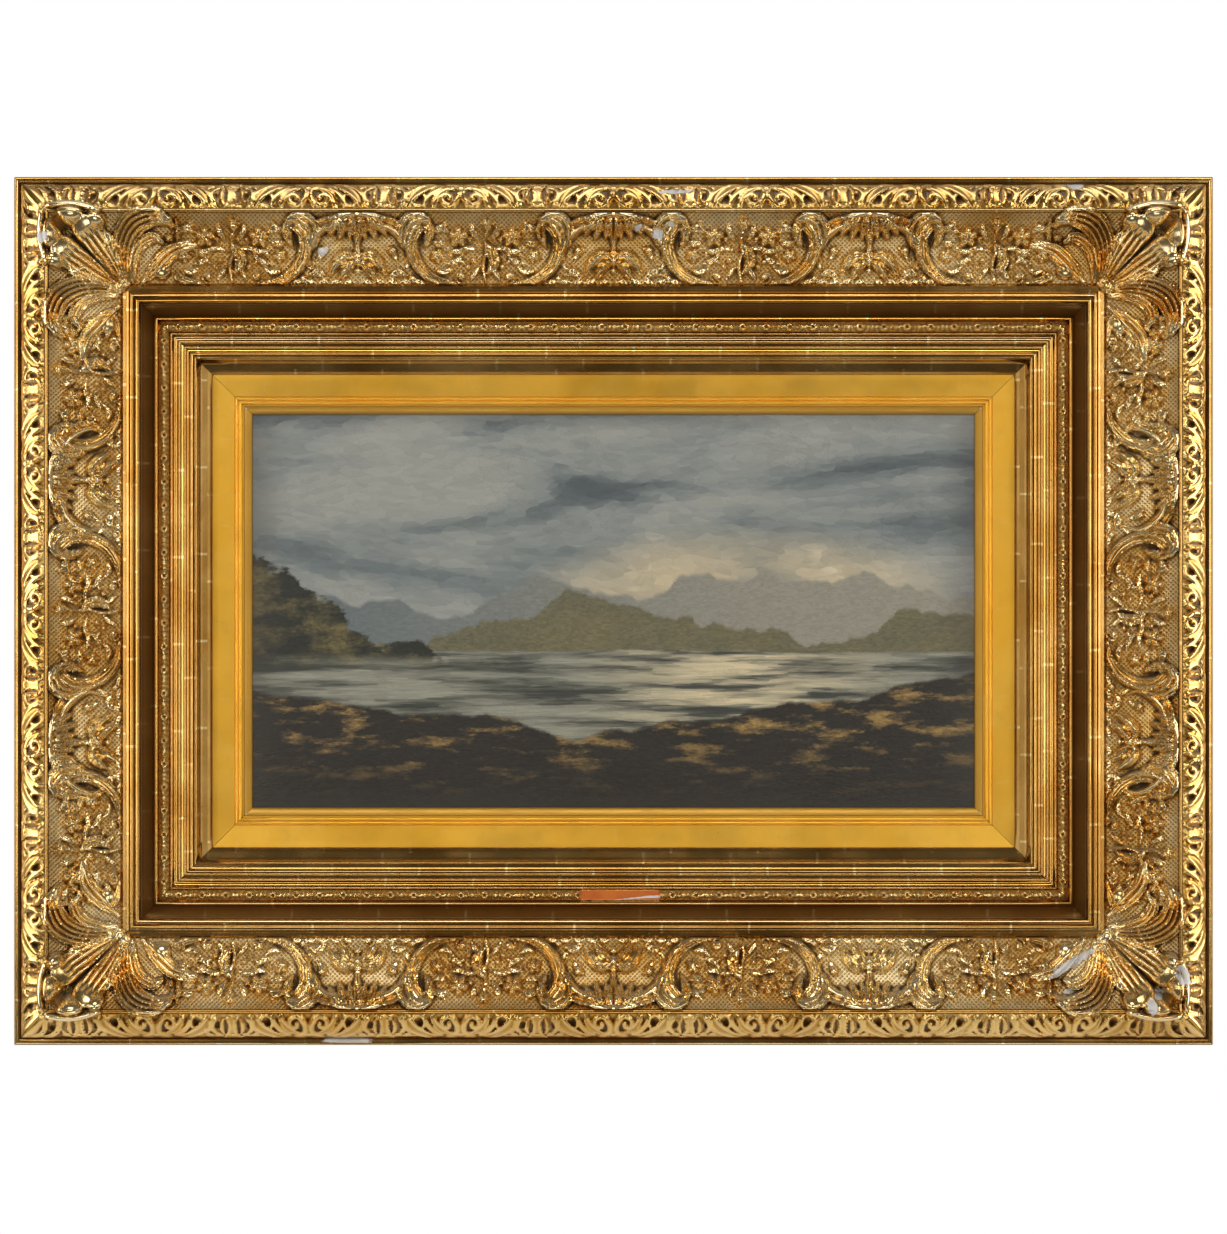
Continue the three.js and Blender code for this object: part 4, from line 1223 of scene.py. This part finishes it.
for up, sign_z in (("top", 1), ("bottom", -1)):
    for across, sign_x in (("left", -1), ("right", 1)):
        corner_piece(f"corner_leaf_{up}_{across}", sign_x, sign_z, ornament_gold)

# %% [markdown]
# ## The painting
# The picture is an upland lake under a breaking storm, made for this frame from nothing but noise
# and a few curves. A painter lays colour in touches, and each touch is one colour. A Voronoi
# texture gives that for little: every point asks for the colour at the middle of its own cell, so
# the scene falls into touches, long and level on the water and short among the trees.

# %% The paint
def oil_painting():
    material, r, shader = new_material("oil_paint")
    place = r.node("TexCoord").outputs["Object"]
    wide = (canvas_high[0] - canvas_low[0]) / 2
    tall = (canvas_high[2] - canvas_low[2]) / 2
    centre = (canvas_low + canvas_high) / 2
    # u and v run from -1 to 1 over the canvas.
    unit = r.stretched(place, (1 / wide, 0, 1 / tall), (-centre[0] / wide, 0, -centre[2] / tall))

    def touched(scale, stretch, wobble):
        """The middle of the touch that a point falls in, after a little turbulence."""
        bend = r.node("TexNoise", {"Scale": 4.0, "Detail": 3.0})
        r.fill(bend.inputs["Vector"], unit)
        off = r.node("VectorMath", operation="SCALE")
        r.fill(off.inputs[0], bend.outputs["Color"])
        off.inputs["Scale"].default_value = wobble
        moved = r.node("VectorMath", operation="ADD")
        r.fill(moved.inputs[0], unit)
        r.fill(moved.inputs[1], off.outputs[0])
        cell = r.node("TexVoronoi", {"Scale": scale})
        r.fill(cell.inputs["Vector"], r.stretched(moved.outputs[0], stretch))
        back = tuple(1 / k if k else 0 for k in stretch)
        middle_of = r.stretched(cell.outputs["Position"], back)
        lost = r.node("VectorMath", operation="SUBTRACT")
        r.fill(lost.inputs[0], middle_of)
        r.fill(lost.inputs[1], off.outputs[0])
        flat = r.blend(0.45, r.stretched(lost.outputs[0], (1, 0, 1)), r.stretched(unit, (1, 0, 1)))
        return flat, cell.outputs["Color"], cell.outputs["Distance"]

    def uv(vector):
        parts = r.node("SeparateXYZ", {"Vector": vector})
        return parts.outputs["X"], parts.outputs["Z"]

    def hill(u, level, swing, scale, seed):
        """The height of a skyline at u: a level plus one-dimensional noise."""
        line = r.node("TexNoise", {"Scale": scale, "Detail": 5.0, "Roughness": 0.55}, noise_dimensions="1D")
        r.fill(line.inputs["W"], r.plus(u, seed))
        return r.plus(level, r.times(r.less(line.outputs["Fac"], 0.5), swing))

    def under(v, line, soft):
        """1 below a skyline, 0 above."""
        return r.ramp(r.less(line, v), -soft, soft)

    def jitter(colour, cell_colour, amount):
        """Makes each touch a little lighter or darker than its neighbours."""
        value = r.node("SeparateColor", {"Color": cell_colour}).outputs["Red"]
        gain = r.plus(1 - amount / 2, r.times(value, amount))
        scaled = r.node("VectorMath", operation="SCALE")
        r.fill(scaled.inputs[0], colour)
        r.fill(scaled.inputs["Scale"], gain)
        return scaled.outputs[0]

    sky_at, sky_cell, sky_edge = touched(34.0, (0.7, 0, 1.1), 0.10)
    u, v = uv(sky_at)
    slate, pearl = (0.2, 0.245, 0.25), (0.42, 0.43, 0.39)
    cream, storm = (0.72, 0.6, 0.38), (0.085, 0.105, 0.115)
    masses = r.noise(r.stretched(sky_at, (0.9, 1, 1.7)), 1.5, 6.0, 0.58, 0.5)
    sky = r.blend(r.ramp(masses, 0.36, 0.64), slate, pearl)
    sky = r.blend(r.times(r.ramp(masses, 0.5, 0.34), r.ramp(v, -0.1, 0.8)), sky, storm)
    du, dv = r.less(u, 0.36), r.less(v, 0.04)
    spread = r.plus(r.times(r.times(du, du), 2.2), r.times(r.times(dv, dv), 6.0))
    glow = r.times(r.ramp(spread, 1.0, 0.0), r.ramp(masses, 0.3, 0.56))
    sky = r.blend(glow, sky, cream)
    sky = r.blend(r.times(glow, r.ramp(r.noise(sky_at, 6.0, 4.0), 0.52, 0.66)), sky, (0.86, 0.76, 0.54))
    sky = jitter(sky, sky_cell, 0.16)

    # Far fells, then nearer woods, in finer touches.
    land_at, land_cell, land_edge = touched(88.0, (1.0, 0, 1.2), 0.06)
    lu, lv = uv(land_at)
    far = r.blend(r.ramp(lu, -1.0, 0.6), (0.16, 0.2, 0.21), (0.36, 0.34, 0.27))
    picture = r.blend(under(lv, hill(lu, 0.1, 0.95, 1.1, 3.7), 0.012), sky, jitter(far, land_cell, 0.18))
    near = r.blend(r.noise(land_at, 5.0, 4.0), (0.1, 0.115, 0.075), (0.27, 0.22, 0.1))
    picture = r.blend(under(lv, hill(lu, -0.05, 0.62, 1.9, 8.2), 0.012), picture,
                      jitter(near, land_cell, 0.35))

    # The lake gives the sky back, broken by level touches.
    lake_at, lake_cell, _ = touched(60.0, (0.35, 0, 2.4), 0.03)
    wu = uv(lake_at)[0]
    ripple = r.noise(r.stretched(lake_at, (1.0, 1, 7.0)), 2.4, 4.0, 0.6)
    water = r.blend(r.ramp(ripple, 0.36, 0.62), (0.05, 0.055, 0.042), (0.36, 0.36, 0.28))
    path_of_light = r.times(r.ramp(r.maths("ABSOLUTE", r.less(wu, 0.34)), 0.5, 0.0),
                            r.ramp(ripple, 0.4, 0.6))
    water = jitter(r.blend(path_of_light, water, (0.8, 0.68, 0.42)), lake_cell, 0.25)
    shore = hill(lu, -0.2, 0.09, 1.3, 1.1)
    picture = r.blend(under(lv, shore, 0.008), picture, water)

    # A wooded point on the left and a darker bank in front, lit in ochre here and there.
    leaves = r.noise(land_at, 7.5, 6.0, 0.62)
    crown = r.less(hill(lu, 0.02, 0.5, 2.6, 5.5), r.times(r.plus(lu, 0.74), 0.95))
    wood = under(r.plus(lv, r.times(r.less(leaves, 0.5), 0.34)), crown, 0.02)
    above_bank = r.ramp(lv, -0.3, -0.2)
    foliage = r.blend(r.ramp(leaves, 0.42, 0.66), (0.022, 0.024, 0.014), (0.2, 0.16, 0.055))
    picture = r.blend(r.times(wood, above_bank), picture, jitter(foliage, land_cell, 0.5))
    bank_line = r.plus(hill(lu, -0.62, 0.3, 1.6, 12.4), r.times(r.maths("ABSOLUTE", r.plus(lu, 0.1)), 0.26))
    bank_light = r.times(r.ramp(r.noise(r.stretched(land_at, (1, 1, 2.2)), 6.0, 5.0, 0.65), 0.5, 0.68),
                         r.ramp(lv, -0.95, -0.5))
    bank = r.blend(bank_light, (0.022, 0.017, 0.009), (0.46, 0.29, 0.085))
    picture = r.blend(under(lv, bank_line, 0.012), picture, jitter(bank, land_cell, 0.5))

    # Old varnish warms everything, and the paint is darker towards its edges.
    fu, fv = uv(unit)
    edge = r.larger(r.maths("ABSOLUTE", fu), r.maths("ABSOLUTE", fv))
    picture = r.blend(0.22, picture, r.blend(0.5, picture, (0.5, 0.36, 0.12), "MULTIPLY"))
    picture = r.blend(r.times(r.ramp(edge, 0.86, 1.02), 0.5), picture, (0.05, 0.04, 0.025))
    cracks = r.node("TexVoronoi", {"Scale": 95.0}, feature="DISTANCE_TO_EDGE")
    r.fill(cracks.inputs["Vector"], place)
    crack = r.times(r.ramp(cracks.outputs["Distance"], 0.03, 0.0), r.ramp(r.noise(place, 14.0), 0.45, 0.6))
    picture = r.blend(r.times(crack, 0.14), picture, (0.03, 0.025, 0.02))
    # The back and the turned edges are bare linen: their normals don't look at the viewer.
    looks = r.node("SeparateXYZ", {"Vector": r.node("NewGeometry").outputs["Normal"]}).outputs["Y"]
    linen = r.ramp(looks, -0.6, -0.4)
    cloth = r.blend(r.ramp(r.noise(place, 16.0, 4.0), 0.3, 0.75), (0.4, 0.31, 0.19), (0.27, 0.2, 0.115))
    r.fill(shader["Base Color"], r.blend(linen, picture, cloth))

    bristle = r.noise(r.stretched(place, (90, 1, 700)), 1.0, 3.0, 0.6)
    weave = r.times(r.maths("SINE", r.times(uv(place)[0], 5200.0)),
                    r.maths("SINE", r.times(uv(place)[1], 5200.0)))
    body = r.less(0.6, r.plus(sky_edge, land_edge))
    height = r.plus(r.times(bristle, 0.5), r.plus(r.times(weave, 0.12), r.times(body, 0.7)))
    height = r.less(height, r.times(crack, 0.2))
    bump = r.node("Bump", {"Strength": 0.6, "Distance": 0.0004, "Height": height})
    r.fill(shader["Normal"], bump.outputs[0])
    varnish = r.ramp(r.noise(place, 11.0), 0.3, 0.7, 0.34, 0.5)
    r.fill(shader["Roughness"], r.larger(varnish, r.times(linen, 0.85)))
    r.fill(shader["Coat Weight"], r.times(r.less(1.0, linen), 0.25))
    shader["Coat Roughness"].default_value = 0.25
    return material


oil_paint = oil_painting()

# %% [markdown]
# ## Canvas and stretcher
# The cloth is nailed over a stretcher of four bars and a cross bar. The CAD pieces have the right
# shape, and the canvas gets paint on its face and bare linen behind, from the way its faces look.

# %% Bare wood, linen, and the pieces that carry over
def bare_wood():
    material, r, shader = new_material("bare_softwood")
    place = r.node("TexCoord").outputs["Object"]
    bars = r.noise(r.stretched(place, (30, 30, 30)), 1.0, 2.0)
    grain = r.noise(r.stretched(place, (14, 90, 210)), 1.0, 5.0, 0.6, 0.8)
    colour = r.blend(r.ramp(grain, 0.35, 0.65), (0.42, 0.27, 0.14), (0.27, 0.16, 0.075))
    colour = r.blend(r.ramp(bars, 0.5, 0.9, 0, 0.5), colour, (0.14, 0.09, 0.05))
    r.fill(shader["Base Color"], colour)
    r.fill(shader["Roughness"], r.ramp(grain, 0.3, 0.7, 0.62, 0.85))
    bump = r.node("Bump", {"Strength": 0.5, "Distance": 0.0004, "Height": grain})
    r.fill(shader["Normal"], bump.outputs[0])
    return material


def linen_sheet(low, high):
    """The canvas as a thin sheet: a grid of points on the front, slacker at the corners, with a
    plain back. The slack is a shallow ripple that fades out at the tacked edges."""
    nu, nv = 46, 26
    u, v = np.meshgrid(np.linspace(-1, 1, nu), np.linspace(-1, 1, nv), indexing="ij")
    free = (1 - u**8) * (1 - v**8)
    ripple = 0.00012 * free * np.sin(5 * u + 3 * v) - 0.0001 * free
    x = (low[0] + high[0]) / 2 + u * (high[0] - low[0]) / 2
    z = (low[2] + high[2]) / 2 + v * (high[2] - low[2]) / 2
    front = np.stack([x, low[1] + 0.0003 + ripple, z], axis=-1).reshape(-1, 3)
    back = np.stack([x, np.full(x.shape, high[1]), z], axis=-1).reshape(-1, 3)
    number = np.arange(nu * nv).reshape(nu, nv)
    cells = np.stack([number[:-1, :-1], number[1:, :-1], number[1:, 1:], number[:-1, 1:]],
                     axis=-1).reshape(-1, 4)
    ring = np.concatenate([number[:, 0], number[-1, 1:], number[-2::-1, -1], number[0, -2:0:-1]])
    after = np.roll(ring, -1)
    walls = np.stack([after, ring, ring + nu * nv, after + nu * nv], axis=1)
    faces = np.concatenate([cells, cells[:, ::-1] + nu * nv, walls])
    return add_mesh("painted_canvas", np.concatenate([front, back]), faces.tolist())


softwood = bare_wood()
sheet = linen_sheet(canvas_low, canvas_high)
finish_piece(sheet, oil_paint, "picture", "canvas")
for node in ("stretcher_top", "stretcher_right", "stretcher_bottom", "stretcher_left",
             "stretcher_crossbar"):
    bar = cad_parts[node]
    bar.data.materials.clear()
    bar.data.materials.append(softwood)

# %% [markdown]
# ## Light and camera
# Gilding lives on what it reflects. Pairs of soft boxes stand left and right at several angles, so
# every slope that faces sideways lights up in its turn. One long box hangs over the viewer and a
# weak one stands below, and the slopes that face up and down stay deep and brown. The room behind
# the camera is dim, and only the camera sees it white.

# %% The studio
bpy.context.scene.view_settings.view_transform = "Standard"


def soft_box(name, place, aim, size, power, colour=(1, 1, 1)):
    light = bpy.data.lights.new(name, "AREA")
    light.shape = "RECTANGLE"
    light.size, light.size_y = size
    light.energy = power
    light.color = colour
    obj = bpy.data.objects.new(name, light)
    bpy.context.collection.objects.link(obj)
    obj.location = place
    obj.rotation_euler = (Vector(aim) - Vector(place)).to_track_quat("-Z", "Y").to_euler()


centre = middle / 1000
aim = (centre[0], 0, centre[2])
# Each pair: name, distance to the side, towards the viewer and up, width, height, power.
PAIRS = [
    ("near", 1.3, -3.2, 0.2, 0.6, 1.2, 13),
    ("key", 2.6, -2.3, 0.2, 0.6, 1.4, 10),
    ("wide", 3.0, -1.25, 0.2, 0.8, 1.6, 4),
    ("rim", 2.0, 0.3, 0.1, 0.8, 1.8, 21),
]
for side, sign in (("left", -1), ("right", 1)):
    for name, out, front, up, wide, tall, power in PAIRS:
        place = (centre[0] + sign * out, front, centre[2] + up)
        soft_box(f"{side}_{name}", place, aim, (wide, tall), power, (1.0, 0.98, 0.95))
soft_box("over", (centre[0], -2.4, centre[2] + 2.4), aim, (1.8, 0.7), 30)
soft_box("under", (centre[0], -2.4, centre[2] - 2.2), aim, (1.8, 0.7), 14)
soft_box("top_rim", (centre[0], 0.5, centre[2] + 2.2), aim, (1.8, 0.8), 18)
soft_box("back_fill", (centre[0], 2.6, centre[2] + 1.2), aim, (1.6, 1.0), 25)

world = bpy.data.worlds.new("studio")
world.use_nodes = True
bpy.context.scene.world = world
r = Recipe(world.node_tree)
background = world.node_tree.nodes["Background"]
seen = r.node("LightPath").outputs["Is Camera Ray"]
r.fill(background.inputs["Color"], r.blend(seen, (0.1, 0.096, 0.092), (1.0, 1.0, 1.0)))

floor_z = cad_box[0][2] - 0.45
floor_points = np.array([(-1.1, -0.3, floor_z), (1.1, -0.3, floor_z), (1.1, 1.2, floor_z),
                         (-1.1, 1.2, floor_z)])
floor = add_mesh("studio_floor", floor_points, [[0, 1, 2, 3]])
floor_paint, _, floor_shader = new_material("pale_floor")
floor_shader["Base Color"].default_value = (0.8, 0.8, 0.78, 1)
floor_shader["Roughness"].default_value = 0.8
floor.data.materials.append(floor_paint)

# %% The camera, square on, and the end
DISTANCE = 6.0
IMAGE = (1227, 1234)
camera = bpy.data.cameras.new("camera")
camera_obj = bpy.data.objects.new("camera", camera)
bpy.context.collection.objects.link(camera_obj)
frame_share = 0.9772  # the frame's width as a share of the image's
view_height = WIDTH / 1000 / frame_share * IMAGE[1] / IMAGE[0]
camera.sensor_width = 36
camera.lens = 36 * (DISTANCE - 0.058) / view_height
camera_obj.location = (centre[0], -DISTANCE, centre[2] - 0.0056)
camera_obj.rotation_euler = (math.pi / 2, 0, 0)
bpy.context.scene.camera = camera_obj

print("CAD box", cad_box)
